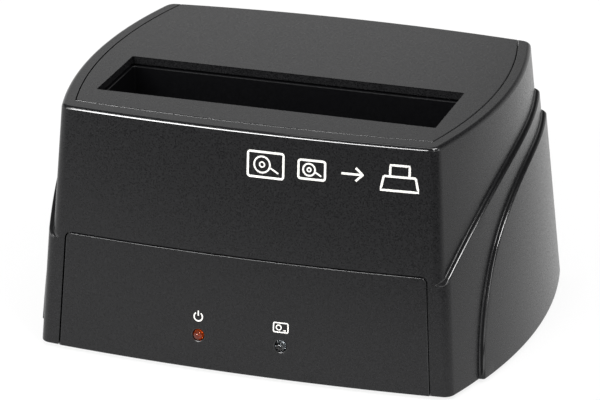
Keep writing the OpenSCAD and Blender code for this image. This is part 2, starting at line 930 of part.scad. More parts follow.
// Contacts lying on the faces of the two tongues
module usb_contacts() {
    color(gold) translate([usb_x, usb_block_y + usb_block_l, usb_floor]) {
        for (x = [-1, 1], z = [tongue_z - usb_pin_t, tongue_z + tongue_t])
            translate([(x * usb_pin_pitch - usb_pin_w) / 2, 0, z]) cube([usb_pin_w, usb_pin_l, usb_pin_t]);
        for (i = [-2:2]) translate([i * fine_pin_pitch - fine_pin_w / 2, 0, head_z - usb_pin_t])
            cube([fine_pin_w, usb_pin_l, usb_pin_t]);
    }
}

// Power inlet: a box with a round nose and a bore
module dc_jack() {
    color(part_black) difference() {
        union() {
            at([jack_x, bay_y - wall - gap - jack_l / 2], board_top)
                rounded_block(jack_w, jack_l, jack_h, jack_r);
            facing_back([jack_x, bay_y - wall - jack_nose_root, jack_z])
                cylinder(d = jack_nose_d, h = jack_proud + wall + jack_nose_root);
        }
        facing_back([jack_x, jack_face - jack_depth, jack_z])
            cylinder(d = jack_bore_d, h = jack_depth + cut);
    }
}

// Centre pin of the power inlet, standing on the floor of its bore
module dc_contacts() {
    straight = jack_depth - jack_pin_short;
    color(steel) facing_back([jack_x, jack_face - jack_depth, jack_z]) {
        cylinder(d = jack_pin_d, h = straight);
        translate([0, 0, straight]) cylinder(d1 = jack_pin_d, d2 = 0.6 * jack_pin_d, h = jack_pin_tip);
    }
}

// Frame of the power switch, open at the face
module switch_body() {
    pit_h = rocker_h + 2 * gap;
    bore_l = rocker_h + 2 * (rocker_pin_l + rocker_pin_end);
    color(part_black) translate([switch_x, switch_face, switch_z]) difference() {
        translate([-switch_w / 2, -switch_depth, -switch_h / 2]) cube([switch_w, switch_depth, switch_h]);
        translate([-rocker_room, -rocker_pit, -pit_h / 2]) cube([2 * rocker_room, rocker_pit + cut, pit_h]);
        translate([0, -rocker_pivot, 0])
            cylinder(d = rocker_pin_d + rocker_pin_play, h = bore_l, center = true);
    }
}

// Rocker with its two pivot pins, drawn with its off end pressed in
module switch_rocker() {
    crown = rocker_pivot + rocker_crown;
    foot = rocker_half - rocker_taper;
    color("#26282b") translate([switch_x, switch_face - rocker_pivot, switch_z]) rotate(-rocker_travel / 2) {
        linear_extrude(rocker_h, center = true)
            polygon([[-rocker_half, crown], [-foot, -rocker_low], [foot, -rocker_low],
                     [rocker_half, crown], [0, rocker_pivot + rocker_saddle]]);
        cylinder(d = rocker_pin_d, h = rocker_h + 2 * rocker_pin_l, center = true);
    }
}

// Three flat legs behind the switch, passing through the board
module switch_terminals() {
    color(steel) for (t = terminals) at(t, board_bottom - terminal_below)
        upright_bar(terminal_w, terminal_t, terminal_below + board_t + terminal_up);
}

// Square bar standing on the middle of its end
module upright_bar(w, t, h) {
    translate([-w / 2, -t / 2, 0]) cube([w, t, h]);
}

// Square chip with a row of legs on each side
module bridge_chip() {
    color(part_black) at([board_w / 2 - chip_inset, parts_y + chip_row], board_top) {
        translate([-chip_side / 2, -chip_side / 2, part_lift]) cube([chip_side, chip_side, chip_h]);
        for (a = [0:90:270], i = [0:chip_legs - 1]) rotate(a)
            translate([chip_side / 2, (i - (chip_legs - 1) / 2) * chip_leg_pitch - chip_leg_w / 2, 0])
                cube([chip_leg_l, chip_leg_w, chip_leg_h]);
    }
}

// Small eight-legged memory chip
module flash_chip() {
    color(part_black) at([board_w / 2 - flash_inset, parts_y + flash_row], board_top) {
        translate([-flash_w / 2, -flash_l / 2, part_lift]) cube([flash_w, flash_l, flash_h]);
        for (x = [-1, 1], i = [-1.5:1.5]) at([x * (flash_w + flash_leg_l) / 2, i * flash_leg_pitch], 0)
            upright_bar(flash_leg_l, flash_leg_w, flash_leg_h);
    }
}

// Crystal in a round-ended steel can
module crystal() {
    can_l = crystal_l - 2 * crystal_rim;
    can_w = crystal_w - 2 * crystal_rim;
    color(steel) at([board_w / 2 - chip_inset, parts_y + crystal_row], board_top) {
        rounded_block(crystal_l, crystal_w, crystal_rim_h, 0.48 * crystal_w);
        rounded_block(can_l, can_w, crystal_h, 0.48 * can_w);
    }
}

// Voltage regulator with a broad cooling tab
module regulator() {
    color(part_black) at([-board_w / 2 + reg_inset, parts_y + reg_row], board_top) {
        translate([-reg_w / 2, -reg_d / 2, 0]) cube([reg_w, reg_d, reg_h]);
        translate([-reg_tab_w / 2, reg_d / 2, 0]) cube([reg_tab_w, reg_tab_l, reg_leg_h]);
        for (i = [-1:1]) translate([i * reg_leg_pitch - reg_leg_w / 2, -reg_d / 2 - reg_leg_l, 0])
            cube([reg_leg_w, reg_leg_l, reg_leg_h]);
    }
}

// Shielded coil of the voltage converter
module power_coil() {
    color("#3a3b3d") at([-board_w / 2 + coil_inset, parts_y + coil_row], board_top) difference() {
        rounded_block(coil_w, coil_w, coil_h, coil_r);
        translate([0, 0, coil_h - coil_cup]) cylinder(d = coil_cup_d, h = coil_cup + cut);
    }
}

// Electrolytic cans on their square bases
module capacitors() {
    cap_x = -board_w / 2 + cap_inset;
    color(steel) for (p = [[0, 0], [1, 0], [1, 1]])
        at([cap_x + p[0] * cap_pitch_x, parts_y + cap_row + p[1] * cap_pitch_y], board_top) {
            rounded_block(cap_base, cap_base, cap_base_h, cap_base_r);
            cylinder(d = cap_d, h = cap_h);
            translate([0, 0, cap_h]) cylinder(d1 = cap_d, d2 = cap_d - 2 * cap_edge, h = cap_edge);
        }
}

// Domed lamp on its flange, pointing out of the front
module lamp(side) {
    dome = led_d / 2;
    translate([side * led_pitch / 2, led_back, lamp_z]) rotate([90, 0, 0]) {
        cylinder(d = led_d + 2 * led_flange, h = led_flange_t);
        cylinder(d = led_d, h = led_l - dome);
        translate([0, 0, led_l - dome]) sphere(dome);
    }
}

module power_led() {
    color("#e0621c") lamp(-1);
}

module activity_led() {
    color("#d9dcde") lamp(1);
}

// Right-angle stands that hold the lamps over the edge of the board
module led_holders() {
    bore = lead_t + 2 * lead_play;
    axis = lamp_z - board_top;
    color(inner_black) for (side = [-1, 1]) at([side * led_pitch / 2, led_back], board_top) difference() {
        translate([-holder_w / 2, 0, 0]) cube([holder_w, holder_l, axis + holder_over]);
        for (x = [-1, 1]) translate([x * lead_pitch, 0, axis])
            cube([bore, 2 * (holder_l + cut), bore], center = true);
    }
}

// Wires of the lamps: straight back through the stand, then down to the board
module led_leads() {
    back_l = holder_l + lead_set;
    color(steel) for (side = [-1, 1], x = [-1, 1])
        at([side * led_pitch / 2 + x * lead_pitch - lead_t / 2, led_back], 0) {
            translate([0, 0, lamp_z - lead_t / 2]) cube([lead_t, back_l, lead_t]);
            translate([0, back_l - lead_t, board_top]) cube([lead_t, lead_t, lamp_z - board_top]);
        }
}

// Four soft feet let into the base
module rubber_feet() {
    color("#0f0f10") for (f = feet) at(f, 0) {
        cylinder(d1 = foot_d - 2 * foot_edge, d2 = foot_d, h = foot_edge);
        translate([0, 0, foot_edge]) cylinder(d = foot_d, h = foot_h + foot_recess - foot_edge);
    }
}

// Screws that hold the base to the housing
module base_screws() {
    color(steel) for (b = bosses) at(b, z0 + tower_h - tower_seat)
        screw(screw_d, screw_l, screw_head_d, screw_head_h);
}

// Screws that hold the board to the base
module board_screws() {
    color(steel) for (p = posts) at(p, board_top) mirror([0, 0, 1])
        screw(small_screw_d, board_screw_l, small_head_d, small_head_h);
}

// Screws that hang the well from the top panel
module well_screws() {
    color(steel) for (e = ear_spots) at(e, ear_z - ear_t)
        screw(small_screw_d, well_screw_l, small_head_d, small_head_h);
}

housing();
top_panel();
front_panel();
rear_panel();
base_plate();
drive_well();
main_board();
sata_connector();
sata_contacts();
usb_shell();
usb_insulator();
usb_contacts();
dc_jack();
dc_contacts();
switch_body();
switch_rocker();
switch_terminals();
bridge_chip();
flash_chip();
crystal();
regulator();
power_coil();
capacitors();
power_led();
activity_led();
led_holders();
led_leads();
rubber_feet();
base_screws();
board_screws();
well_screws();
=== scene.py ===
"""Looks of a drive docking station: its moulded shells, lamps, ports and print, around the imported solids."""
import math

import bmesh
import bpy
import numpy as np
from mathutils import Matrix, Vector


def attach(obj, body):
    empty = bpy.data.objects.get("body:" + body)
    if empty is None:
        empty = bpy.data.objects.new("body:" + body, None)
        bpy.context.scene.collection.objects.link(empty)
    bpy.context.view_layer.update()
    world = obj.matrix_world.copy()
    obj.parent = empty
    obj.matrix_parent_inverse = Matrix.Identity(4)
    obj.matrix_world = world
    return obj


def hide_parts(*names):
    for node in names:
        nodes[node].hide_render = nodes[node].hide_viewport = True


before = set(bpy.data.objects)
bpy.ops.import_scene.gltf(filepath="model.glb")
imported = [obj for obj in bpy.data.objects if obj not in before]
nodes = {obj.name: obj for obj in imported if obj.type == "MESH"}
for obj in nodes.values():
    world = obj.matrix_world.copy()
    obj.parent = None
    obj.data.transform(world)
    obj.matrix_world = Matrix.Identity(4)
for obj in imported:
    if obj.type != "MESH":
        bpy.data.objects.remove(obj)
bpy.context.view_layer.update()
scene = bpy.context.scene
MM = 0.001

# The case's form in millimetres, with the same values as the solids.
Z0, HEIGHT, DEPTH = 1.2, 73.2, 105.0
Z1 = Z0 + HEIGHT
TOP_PLATE = 2.4
UNDER_TOP = Z1 - TOP_PLATE
PLAIN_HALF, TOP_HALF, STEP = 71.5, 64.6, 1.5
SIDE_R, SIDE_MID, FRONT_R, BACK_R = 160.0, 6.0, 650.0, 480.0
LEAN, CORNER_R = 8.2, 3.5
WALL, SEAM, LIP = 2.2, 0.3, 1.4
TOP_SIDE_IN, TOP_FRONT_IN = 4.0, 5.3
WINDOW_HIGH, WINDOW_HALF, WINDOW_SPREAD, WINDOW_CORNER = 35.2, 55.3, 2.45, 2.0
REAR_HALF, REAR_CORNER = 55.0, 0.3
SLOT_Y, SLOT_W, SLOT_D, SLOT_CORNER = -12.6, 104.0, 28.5, 0.5
LAMP_X, LAMP_Z, LAMP_LONG, LAMP_PROUD = 12.7, 11.2, 5.3, 1.1
SWITCH_X, SWITCH_FACE, SWITCH_Z, ROCKER_PIVOT = 26.0, 49.3, 13.4, 3.0

# Rounding of moulded edges: upper edge of the sides and back, lower edge of the case, seams and drive slot.
TOP_ROUND, FOOT_ROUND, SEAM_ROUND, SLOT_ROUND = 1.15, 0.3, 0.25, 0.35
# How far the plates' edges stay clear of the housing where they touch it.
FIT = 0.05
# Points nearer to each other than this are one point, in metres.
SAME_POINT = 2e-6


def rise(z):
    return (z - Z0) / HEIGHT


def front_y(x, z, inset=0.0):
    return -DEPTH / 2 + FRONT_R - np.sqrt((FRONT_R - LEAN * rise(z) - inset) ** 2 - np.square(x))


def back_y(x, inset=0.0):
    return DEPTH / 2 - BACK_R + np.sqrt((BACK_R - inset) ** 2 - np.square(x))


def circles_meet(c1, r1, c2, r2):
    """Where two circles meet, on the right of the way from the first to the second."""
    way = np.subtract(c2, c1)
    d = np.hypot(*way)
    along = (r1 * r1 - r2 * r2 + d * d) / (2 * d)
    off = np.sqrt(r1 * r1 - along * along)
    return np.stack([c1[0] + way[0] / d * along + way[1] / d * off,
                     c1[1] + way[1] / d * along - way[0] / d * off], -1)


def angle_from(centre, p):
    return np.arctan2(p[..., 1] - centre[1], p[..., 0] - centre[0])


def case_outline(part, t, z, layer, inset):
    """Points of the right half of the case's outline: front, front corner, side, back corner, back."""
    r = CORNER_R - inset
    cs, cf, cb = (PLAIN_HALF - SIDE_R, SIDE_MID), (0, -DEPTH / 2 + FRONT_R), (0, DEPTH / 2 - BACK_R)
    rs = SIDE_R - (PLAIN_HALF - TOP_HALF) * rise(z) + layer * STEP - inset
    rf = FRONT_R - LEAN * rise(z) - inset
    rb = BACK_R - inset + 0 * z
    front = circles_meet(cs, rs - r, cf, rf - r)
    back = circles_meet(cb, rb - r, cs, rs - r)
    a_front, a_side = angle_from(cf, front), angle_from(cs, front)
    a_rear, a_back = angle_from(cs, back), angle_from(cb, back)
    x_front = front[..., 0] + r * np.cos(a_front)
    x_back = back[..., 0] + r * np.cos(a_back)
    turn = a_front + (a_side - a_front) * t
    along = a_side + (a_rear - a_side) * t
    turn_back = a_rear + (a_back - a_rear) * t
    xs = [x_front * t, front[..., 0] + r * np.cos(turn), cs[0] + rs * np.cos(along),
          back[..., 0] + r * np.cos(turn_back), x_back * (1 - t)]
    ys = [front_y(xs[0], z, inset), front[..., 1] + r * np.sin(turn), cs[1] + rs * np.sin(along),
          back[..., 1] + r * np.sin(turn_back), back_y(xs[4], inset)]
    return np.choose(part, xs), np.choose(part, ys)


def step_curve(start, lo, hi, leave, arrive, before, level_run=20.0, steps=160):
    """Side view of a step as points (y, z), carried on past both ends."""
    run = DEPTH / 2 - level_run - start
    p = np.array([[start, lo], [start + run * leave[0], lo + (hi - lo) * leave[1]],
                  [start + run * arrive, hi], [start + run, hi]])
    s = np.linspace(0, 1, steps)[:, None]
    line = (1 - s) ** 3 * p[0] + 3 * (1 - s) ** 2 * s * p[1] + 3 * (1 - s) * s * s * p[2] + s ** 3 * p[3]
    return np.vstack([[before], line, [[200, hi]]]) + [0, Z0]


UPPER_STEP = step_curve(start=-DEPTH / 2 + 4, lo=31.0, hi=58.2, leave=(0.329, 0.891), arrive=0.652,
                        before=(-200, 31.0))
LOWER_STEP = step_curve(start=-DEPTH / 2 + 17.7, lo=0.0, hi=51.6, leave=(0.092, 1.021), arrive=0.686,
                        before=(-41.8, -59.4))


def below(line, y, z):
    """How far points lie below a step's curve, square to it."""
    a, b = line[:-1], line[1:]
    way = b - a
    p = np.stack([y, z], -1)[:, None, :] - a
    s = np.clip((p * way).sum(-1) / (way * way).sum(-1), 0, 1)
    d = np.linalg.norm(p - s[..., None] * way, axis=-1)
    near = d.argmin(1)
    row = np.arange(len(y))
    side = way[near, 0] * p[row, near, 1] - way[near, 1] * p[row, near, 0]
    return -np.sign(side) * d[row, near]


def bent_edge(*spans):
    """(inset, distance from the far face) along a rounded edge.

    A span is the two angles that it turns between, its length and its number of rows.
    """
    inset, height, rows = 0.0, 0.0, [(0.0, 0.0)]
    for start, end, length, count in spans:
        for k in range(count):
            facing = math.radians(start + (end - start) * (k + 0.5) / count)
            inset += math.sin(facing) * length / count
            height += math.cos(facing) * length / count
            rows.append((inset, height))
    return np.array([(i, height - h) for i, h in rows])


# Upper front edge of the case, and outer edge of the steps: a nearly flat land between two tight bends.
FRONT_EDGE = bent_edge((6.0, 23.0, 0.08, 3), (23.0, 28.5, 0.5, 5), (28.5, 90.0, 0.65, 9))
STEP_EDGE = bent_edge((0.0, 24.0, 0.1, 2), (24.0, 36.0, 0.32, 4), (36.0, 90.0, 0.3, 4))


def step_profile(fillet=0.35, n=6):
    """Section of a step: (distance below its curve, share of its height), from inner to outer layer."""
    a = np.linspace(0, math.pi / 2, n)
    inner = np.stack([-fillet + fillet * np.sin(a), fillet - fillet * np.cos(a)], -1)
    return np.vstack([inner, STEP_EDGE * [1, -1] + [0, STEP]]) / [1, STEP]


def level_below(line, distance, layer, part, t):
    """Height at which each column of the outline lies that far below a step's curve."""
    lo, hi = np.full(len(t), -30.0), np.full(len(t), Z1 + 5)
    for _ in range(36):
        mid = (lo + hi) / 2
        _, y = case_outline(part, t, mid, layer, 0.0)
        deep = below(line, y, mid) > distance
        lo, hi = np.where(deep, mid, lo), np.where(deep, hi, mid)
    return (lo + hi) / 2


def both_sides(right):
    """The right half of an outline, and its mirror image on the left."""
    return np.vstack([right, right[1:-1][::-1] * ([-1] + [1] * (right.shape[1] - 1))])


def loft(name, rings, closed=True, caps=True):
    """Mesh object through rings of points in millimetres, each ring with as many points as the next."""
    n = len(rings[0])
    verts = np.vstack(rings) * MM
    last = n if closed else n - 1
    faces = [(k * n + i, k * n + (i + 1) % n, (k + 1) * n + (i + 1) % n, (k + 1) * n + i)
             for k in range(len(rings) - 1) for i in range(last)]
    if caps:
        faces += [tuple(reversed(range(n))), tuple(range((len(rings) - 1) * n, len(rings) * n))]
    mesh = bpy.data.meshes.new(name)
    mesh.from_pydata(verts.tolist(), [], faces)
    piece = bpy.data.objects.new(name, mesh)
    scene.collection.objects.link(piece)
    clean(piece)
    return piece


def clean(piece):
    """Joins points that coincide and turns the faces outwards."""
    bm = bmesh.new()
    bm.from_mesh(piece.data)
    bmesh.ops.remove_doubles(bm, verts=bm.verts, dist=SAME_POINT)
    bmesh.ops.dissolve_degenerate(bm, edges=bm.edges, dist=1e-6)
    bmesh.ops.recalc_face_normals(bm, faces=bm.faces)
    bm.to_mesh(piece.data)
    bm.free()


def carve(piece, *cutters):
    """Takes the cutters away from the piece, and deletes them."""
    for cutter in cutters:
        m = piece.modifiers.new(cutter.name, "BOOLEAN")
        m.operation, m.solver, m.object = "DIFFERENCE", "MANIFOLD", cutter
    bpy.context.view_layer.update()
    made = bpy.data.meshes.new_from_object(piece.evaluated_get(bpy.context.evaluated_depsgraph_get()))
    piece.modifiers.clear()
    old, piece.data = piece.data, made
    bpy.data.meshes.remove(old)
    for cutter in cutters:
        mesh = cutter.data
        bpy.data.objects.remove(cutter)
        bpy.data.meshes.remove(mesh)
    return piece


def joined(name, pieces):
    """One object from several closed meshes."""
    bm = bmesh.new()
    for piece in pieces:
        bm.from_mesh(piece.data)
        mesh = piece.data
        bpy.data.objects.remove(piece)
        bpy.data.meshes.remove(mesh)
    mesh = bpy.data.meshes.new(name)
    bm.to_mesh(mesh)
    bm.free()
    whole = bpy.data.objects.new(name, mesh)
    scene.collection.objects.link(whole)
    return whole


def smooth(piece, degrees=32):
    piece.data.shade_smooth()
    piece.data.set_sharp_from_angle(angle=math.radians(degrees))
    piece.modifiers.new("even_normals", "WEIGHTED_NORMAL").keep_sharp = True
    return piece


# Burnish: the turn to the front at which an edge gets any, the further turn until it is full,
# and the share of it that a hollow edge gets.
FACES_FRONT, FRONT_FADE, HOLLOW_POLISH = 0.45, 0.2, 0.45
# Along the case's upper front edge it grows from its least at the left end.
LEFT_END, LEFT_FADE, LEAST_POLISH, EDGE_DEEP = -64.0, 22.0, 0.25, 1.6
# On the steps it starts behind the front corner, on faces that turn up and outwards.
STEPS_BEHIND, STEPS_UP, STEPS_OUT = -46.5, 0.15, 0.2


def polish_edges(piece, gloss=1.0, where=lambda place, facing: True, width=0.3, bend=0.8):
    """Marks the narrow faces of rounded edges at the front, which are burnished and not grained."""
    bm = bmesh.new()
    bm.from_mesh(piece.data)
    mark = bm.faces.layers.float.new("edge")
    for face in bm.faces:
        narrow = 2 * face.calc_area() / face.calc_perimeter() < width * MM and face.normal.y < -FACES_FRONT
        bent = sum(e.calc_face_angle(0.0) > math.radians(bend) for e in face.edges) > 1
        hollow = sum(e.calc_face_angle_signed(0.0) for e in face.edges) < 0
        polish = gloss * (HOLLOW_POLISH if hollow else 1.0)
        face[mark] = polish * (narrow and bent and where(face.calc_center_median() / MM, face.normal))
    bm.to_mesh(piece.data)
    bm.free()
    return piece


def burnished_on_case(place, facing):
    """How far a place on the case is burnished: along its upper front edge and on the steps' edges."""
    if place.z > Z1 - EDGE_DEEP:
        return min(max((place.x - LEFT_END) / LEFT_FADE, LEAST_POLISH), 1.0)
    outwards = facing.x if place.x > 0 else -facing.x
    if place.y < STEPS_BEHIND or facing.z < STEPS_UP or outwards < STEPS_OUT:
        return 0.0
    return min(max((-facing.y - FACES_FRONT) / FRONT_FADE, 0.0), 1.0)


def rough_shaded_walls(piece, material, side=60.0, straight=0.06, up=0.1):
    """Gives the steps' walls, which run straight in from the sides, their own rough material, darkened with
    painted shade.
    """
    piece.data.materials.append(material)
    for face in piece.data.polygons:
        beside = abs(face.center.x) > side * MM and face.center.z < UNDER_TOP * MM
        if beside and abs(face.normal.x) < straight and face.normal.z > up:
            face.material_index = 1


def dress(piece, body, slot, material, *stands_for):
    """Gives a new piece its material, its body and the solids that it stands for."""
    piece.data.materials.clear()
    piece.data.materials.append(material)
    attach(piece, body)
    if stands_for:
        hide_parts(*stands_for)
    return piece


def round_rows(r, n=6):
    """(inset, distance from the flat) of a quarter round, from the upright face to the flat one."""
    a = np.linspace(0, math.pi / 2, n)
    return list(zip(r * (1 - np.cos(a)), r * (1 - np.sin(a))))


# Columns of the case's outline: over half its front, round a corner, over half its back, and along a side in
# stretches (from, to, count), closest where the lower step rises.
FRONT_COLUMNS, CORNER_COLUMNS, BACK_COLUMNS = 44, 11, 24
SIDE_COLUMNS = ((0, 0.04, 18), (0.04, 0.10, 38), (0.10, 0.215, 110), (0.215, 0.3, 20), (0.3, 1, 52))


def case_block():
    """The whole outside of the case: bowed leaning faces, two stepped layers on each side, rounded edges."""
    side = np.concatenate([np.linspace(a, b, count, endpoint=False) for a, b, count in SIDE_COLUMNS])
    corner = np.linspace(0, 1, CORNER_COLUMNS)[:-1]
    spans = [np.linspace(0, 1, FRONT_COLUMNS)[:-1], corner, side, corner, np.linspace(0, 1, BACK_COLUMNS)]
    part = np.concatenate([np.full(len(s), i) for i, s in enumerate(spans)])
    t = np.concatenate(spans)
    n = len(t)
    frontal = np.where(part == 0, 1.0, np.where(part == 1, 1.0 - t, 0.0))
    edge = [np.outer(f, frontal) + np.outer(r, 1 - frontal)
            for f, r in zip(FRONT_EDGE, round_rows(TOP_ROUND, len(FRONT_EDGE)))]
    low, high = Z0 + FOOT_ROUND, Z1 - edge[0][1]
    rows = []
    for line, base in ((UPPER_STEP, 0), (LOWER_STEP, 1)):
        for s, share in step_profile():
            layer = np.full(n, base + share)
            rows.append((level_below(line, s, layer, part, t), layer))
    half = len(rows) // 2

    def between(a, b, count):
        return [(a[0] + (b[0] - a[0]) * k / count, b[1]) for k in range(1, count)]

    first, last = (high, np.zeros(n)), (np.full(n, low), np.full(n, 2.0))
    column = [first] + between(first, rows[0], 6) + rows[:half]
    column += between(rows[half - 1], rows[half], 5) + rows[half:] + between(rows[-1], last, 5) + [last]
    levels, layers = np.array([c[0] for c in column]), np.array([c[1] for c in column])
    for i in range(n):
        under = np.nonzero(levels[:, i] <= low + 1e-9)[0][0]
        drop = levels[under - 1, i] - levels[under, i]
        share = (levels[under - 1, i] - low) / drop if drop > 1e-9 else 1.0
        layers[under:, i] = layers[under - 1, i] + share * (layers[under, i] - layers[under - 1, i])
        levels[under:, i] = low
    sections = [(Z1 - d, np.zeros(n), e) for e, d in reversed(edge)]
    sections += [(z, layer, 0.0) for z, layer in zip(levels[1:], layers[1:])]
    sections += [(np.full(n, Z0 + d), layers[-1], e) for e, d in round_rows(FOOT_ROUND, 4)[1:]]
    rings = []
    for z, layer, inset in sections:
        x, y = case_outline(part, t, z, layer, inset)
        rings.append(both_sides(np.stack([x, y, z], -1)))
    return loft("case_block", rings)


def hollow_block(inset, lo, hi):
    """Space inside walls of even thickness."""
    counts = {0: 30, 2: 40, 4: 30}
    part = np.concatenate([np.full(k, i) for i, k in counts.items()])
    t = np.concatenate([np.linspace(0, 1, k) for k in counts.values()])
    rings = []
    for level in (lo, hi):
        z = np.full(len(t), level)
        x, y = case_outline(part, t, z, 0.0 * z, np.full(len(t), inset))
        rings.append(both_sides(np.stack([x, y, z], -1)))
    return loft("hollow", rings)


def top_outline(grow, back, n=40):
    """Outline of the top panel: bowed front and sides, and a back at the given inset of the case's back."""
    cs, cf, cb = (PLAIN_HALF - SIDE_R, SIDE_MID), (0, -DEPTH / 2 + FRONT_R), (0, DEPTH / 2 - BACK_R)
    rs = SIDE_R - (PLAIN_HALF - TOP_HALF) - TOP_SIDE_IN + grow
    rf, rb = FRONT_R - LEAN - TOP_FRONT_IN + grow, BACK_R - back
    front, rear = circles_meet(cs, rs, cf, rf), circles_meet(cb, rb, cs, rs)
    s = np.linspace(0, 1, n)
    x1 = front[0] * s
    a = angle_from(cs, front) + (angle_from(cs, rear) - angle_from(cs, front)) * s
    x3 = rear[0] * (1 - s)
    x = np.concatenate([x1, cs[0] + rs * np.cos(a[1:]), x3[1:]])
    y = np.concatenate([cf[1] - np.sqrt(rf ** 2 - x1 ** 2), cs[1] + rs * np.sin(a[1:]),
                        cb[1] + np.sqrt(rb ** 2 - x3[1:] ** 2)])
    return both_sides(np.stack([x, y], -1))


def at_level(outline, z):
    return np.column_stack([outline, np.full(len(outline), z)])


def rounded_polygon(corners, r, grow=0.0, spacing=3.0, n=7):
    """Convex outline with rounded corners, grown outwards, with points along its straight edges."""
    corners = np.array(corners, float)
    count = len(corners)
    ways = np.roll(corners, -1, 0) - corners
    lengths = np.linalg.norm(ways, axis=1)
    normals = np.stack([ways[:, 1], -ways[:, 0]], -1) / lengths[:, None]
    points = []
    for i in range(count):
        before, after = normals[i - 1], normals[i]
        turn = math.acos(np.clip(before @ after, -1, 1))
        centre = corners[i] - (before + after) / (1 + before @ after) * r
        a0 = math.atan2(before[1], before[0])
        arc = [centre + (r + grow) * np.array([math.cos(a0 + turn * k / n), math.sin(a0 + turn * k / n)])
               for k in range(n + 1)]
        points += arc
        following = normals[(i + 1) % count]
        end_corner = corners[(i + 1) % count]
        end_centre = end_corner - (after + following) / (1 + after @ following) * r
        end = end_centre + (r + grow) * after
        cells = max(1, int(np.linalg.norm(corners[i] - end_corner) / spacing))
        points += [arc[-1] + (end - arc[-1]) * k / cells for k in range(1, cells)]
    return np.array(points)


def window_edge(grow):
    """Right edge of the front window, from the case's lower edge up and round its upper corner."""
    hi, r, past = WINDOW_HIGH + Z0, WINDOW_CORNER, 6
    spread = WINDOW_SPREAD / (hi + past - Z0)
    flank, over = np.array([1.0, spread]) / math.hypot(1, spread), np.array([0.0, 1.0])
    centre = np.array([WINDOW_HALF, hi]) - (flank + over) / (1 + flank @ over) * r
    a = np.linspace(math.atan2(flank[1], flank[0]), math.pi / 2, 9)
    bend = centre + (r + grow) * np.column_stack([np.cos(a), np.sin(a)])
    z = np.linspace(Z0, bend[0, 1], 24)[:-1]
    return np.vstack([np.column_stack([bend[0, 0] + spread * (bend[0, 1] - z), z]), bend])


def window_grid(grow, columns=64):
    """Points all over the front window, row by row from the lower edge."""
    share = np.linspace(-1, 1, columns)
    return np.array([np.column_stack([x * share, np.full(columns, z)]) for x, z in window_edge(grow)])


def window_rim(grid):
    """Points round the edge of a grid over the front window, from its lower left corner."""
    return np.vstack([grid[0], grid[1:, -1], grid[-1, -2::-1], grid[-2:0:-1, 0]])


def window_outline(grow, run_on=9.0):
    """Outline of the front window as a cutter needs it, carried on below the case."""
    grid = window_grid(grow)
    grid[0] += (grid[0] - grid[1]) * run_on / (grid[1, 0, 1] - grid[0, 0, 1])
    return window_rim(grid)


def on_front(outline, depth):
    x, z = outline[:, 0], outline[:, 1]
    return np.column_stack([x, front_y(x, z) + depth, z])


def on_back(outline, depth):
    x, z = outline[:, 0], outline[:, 1]
    return np.column_stack([x, back_y(x) - depth, z])


def flared_window(outline_of, place, outside, inside, grow=SEAM, r=SEAM_ROUND):
    """Cutter for a window whose outer edge is rounded, from a flat outside the case to a flat inside it."""
    def flat(outline, y):
        return np.column_stack([outline[:, 0], np.full(len(outline), y), outline[:, 1]])

    past, deep = 2.0, 5.0
    rings = [flat(outline_of(grow + r + past), outside), place(outline_of(grow + r + past), -past)]
    rings += [place(outline_of(grow + r - e), d) for d, e in round_rows(r, 5)]
    rings += [place(outline_of(grow), deep), flat(outline_of(grow), inside)]
    return loft("window", rings)


def housing_shell():
    """Main moulding: the stepped case with its windows, whose edges are rounded as moulded ones are."""
    past, over = 3.0, 2.0
    rings = [at_level(top_outline(SEAM, -past), UNDER_TOP - past)]
    rings += [at_level(top_outline(SEAM + SEAM_ROUND - e, -past), Z1 - d)
              for d, e in reversed(round_rows(SEAM_ROUND, 5))]
    rings.append(at_level(top_outline(SEAM + SEAM_ROUND + over, -2 * past), Z1 + over))
    top = loft("top_window", rings)
    lo, hi, outside, inside = -4.0, UNDER_TOP - SEAM, 62.0, 36.0
    back_corners = [(-REAR_HALF, lo), (REAR_HALF, lo), (REAR_HALF, hi), (-REAR_HALF, hi)]
    rear = flared_window(lambda g: rounded_polygon(back_corners, REAR_CORNER, g), on_back, outside, inside)
    return carve(case_block(), hollow_block(WALL, Z0 - past, UNDER_TOP), top, rear,
                 flared_window(window_outline, on_front, -outside, -inside))


def top_plate():
    """Plate let into the top, its back edge rounded as the case's upper edge is, with the drive slot."""
    fit, groove, end_groove, groove_end, run_out = SEAM - FIT, 1.2, 0.3, 42.0, 6.0

    def fitted(grow, back, down):
        """Ring at the foot of the seam's groove, which runs out shallow at the back."""
        outline = top_outline(grow, back)
        deep = groove + (end_groove - groove) * np.clip((outline[:, 1] - groove_end) / run_out, 0, 1)
        return np.column_stack([outline, Z1 - np.maximum(down, deep)])

    rows = round_rows(TOP_ROUND, len(FRONT_EDGE))
    low = [row for row in rows if row[1] >= end_groove]
    rings = [at_level(top_outline(fit, 0.0), UNDER_TOP)]
    rings += [fitted(fit, e, d) for e, d in low] + [fitted(0.0, *low[-1])]
    for e, d in rows[len(low):]:
        up = max(0.0, SEAM_ROUND - d)
        edge = SEAM_ROUND - math.sqrt(SEAM_ROUND ** 2 - up ** 2)
        rings.append(at_level(top_outline(-edge, e), Z1 - d))
    half_w, half_d = SLOT_W / 2, SLOT_D / 2
    corners = [(-half_w, -half_d), (half_w, -half_d), (half_w, half_d), (-half_w, half_d)]

    def slot_ring(grow, z):
        return at_level(rounded_polygon(corners, SLOT_CORNER, grow) + [0, SLOT_Y], z)

    r, past = SLOT_ROUND, 2.0
    cut = [slot_ring(0.0, UNDER_TOP - past)]
    cut += [slot_ring(r - e, Z1 - d) for d, e in reversed(round_rows(r, 6))]
    cut.append(slot_ring(r + past, Z1 + past))
    slot = loft("slot", cut)
    return carve(loft("top_plate", rings), slot)


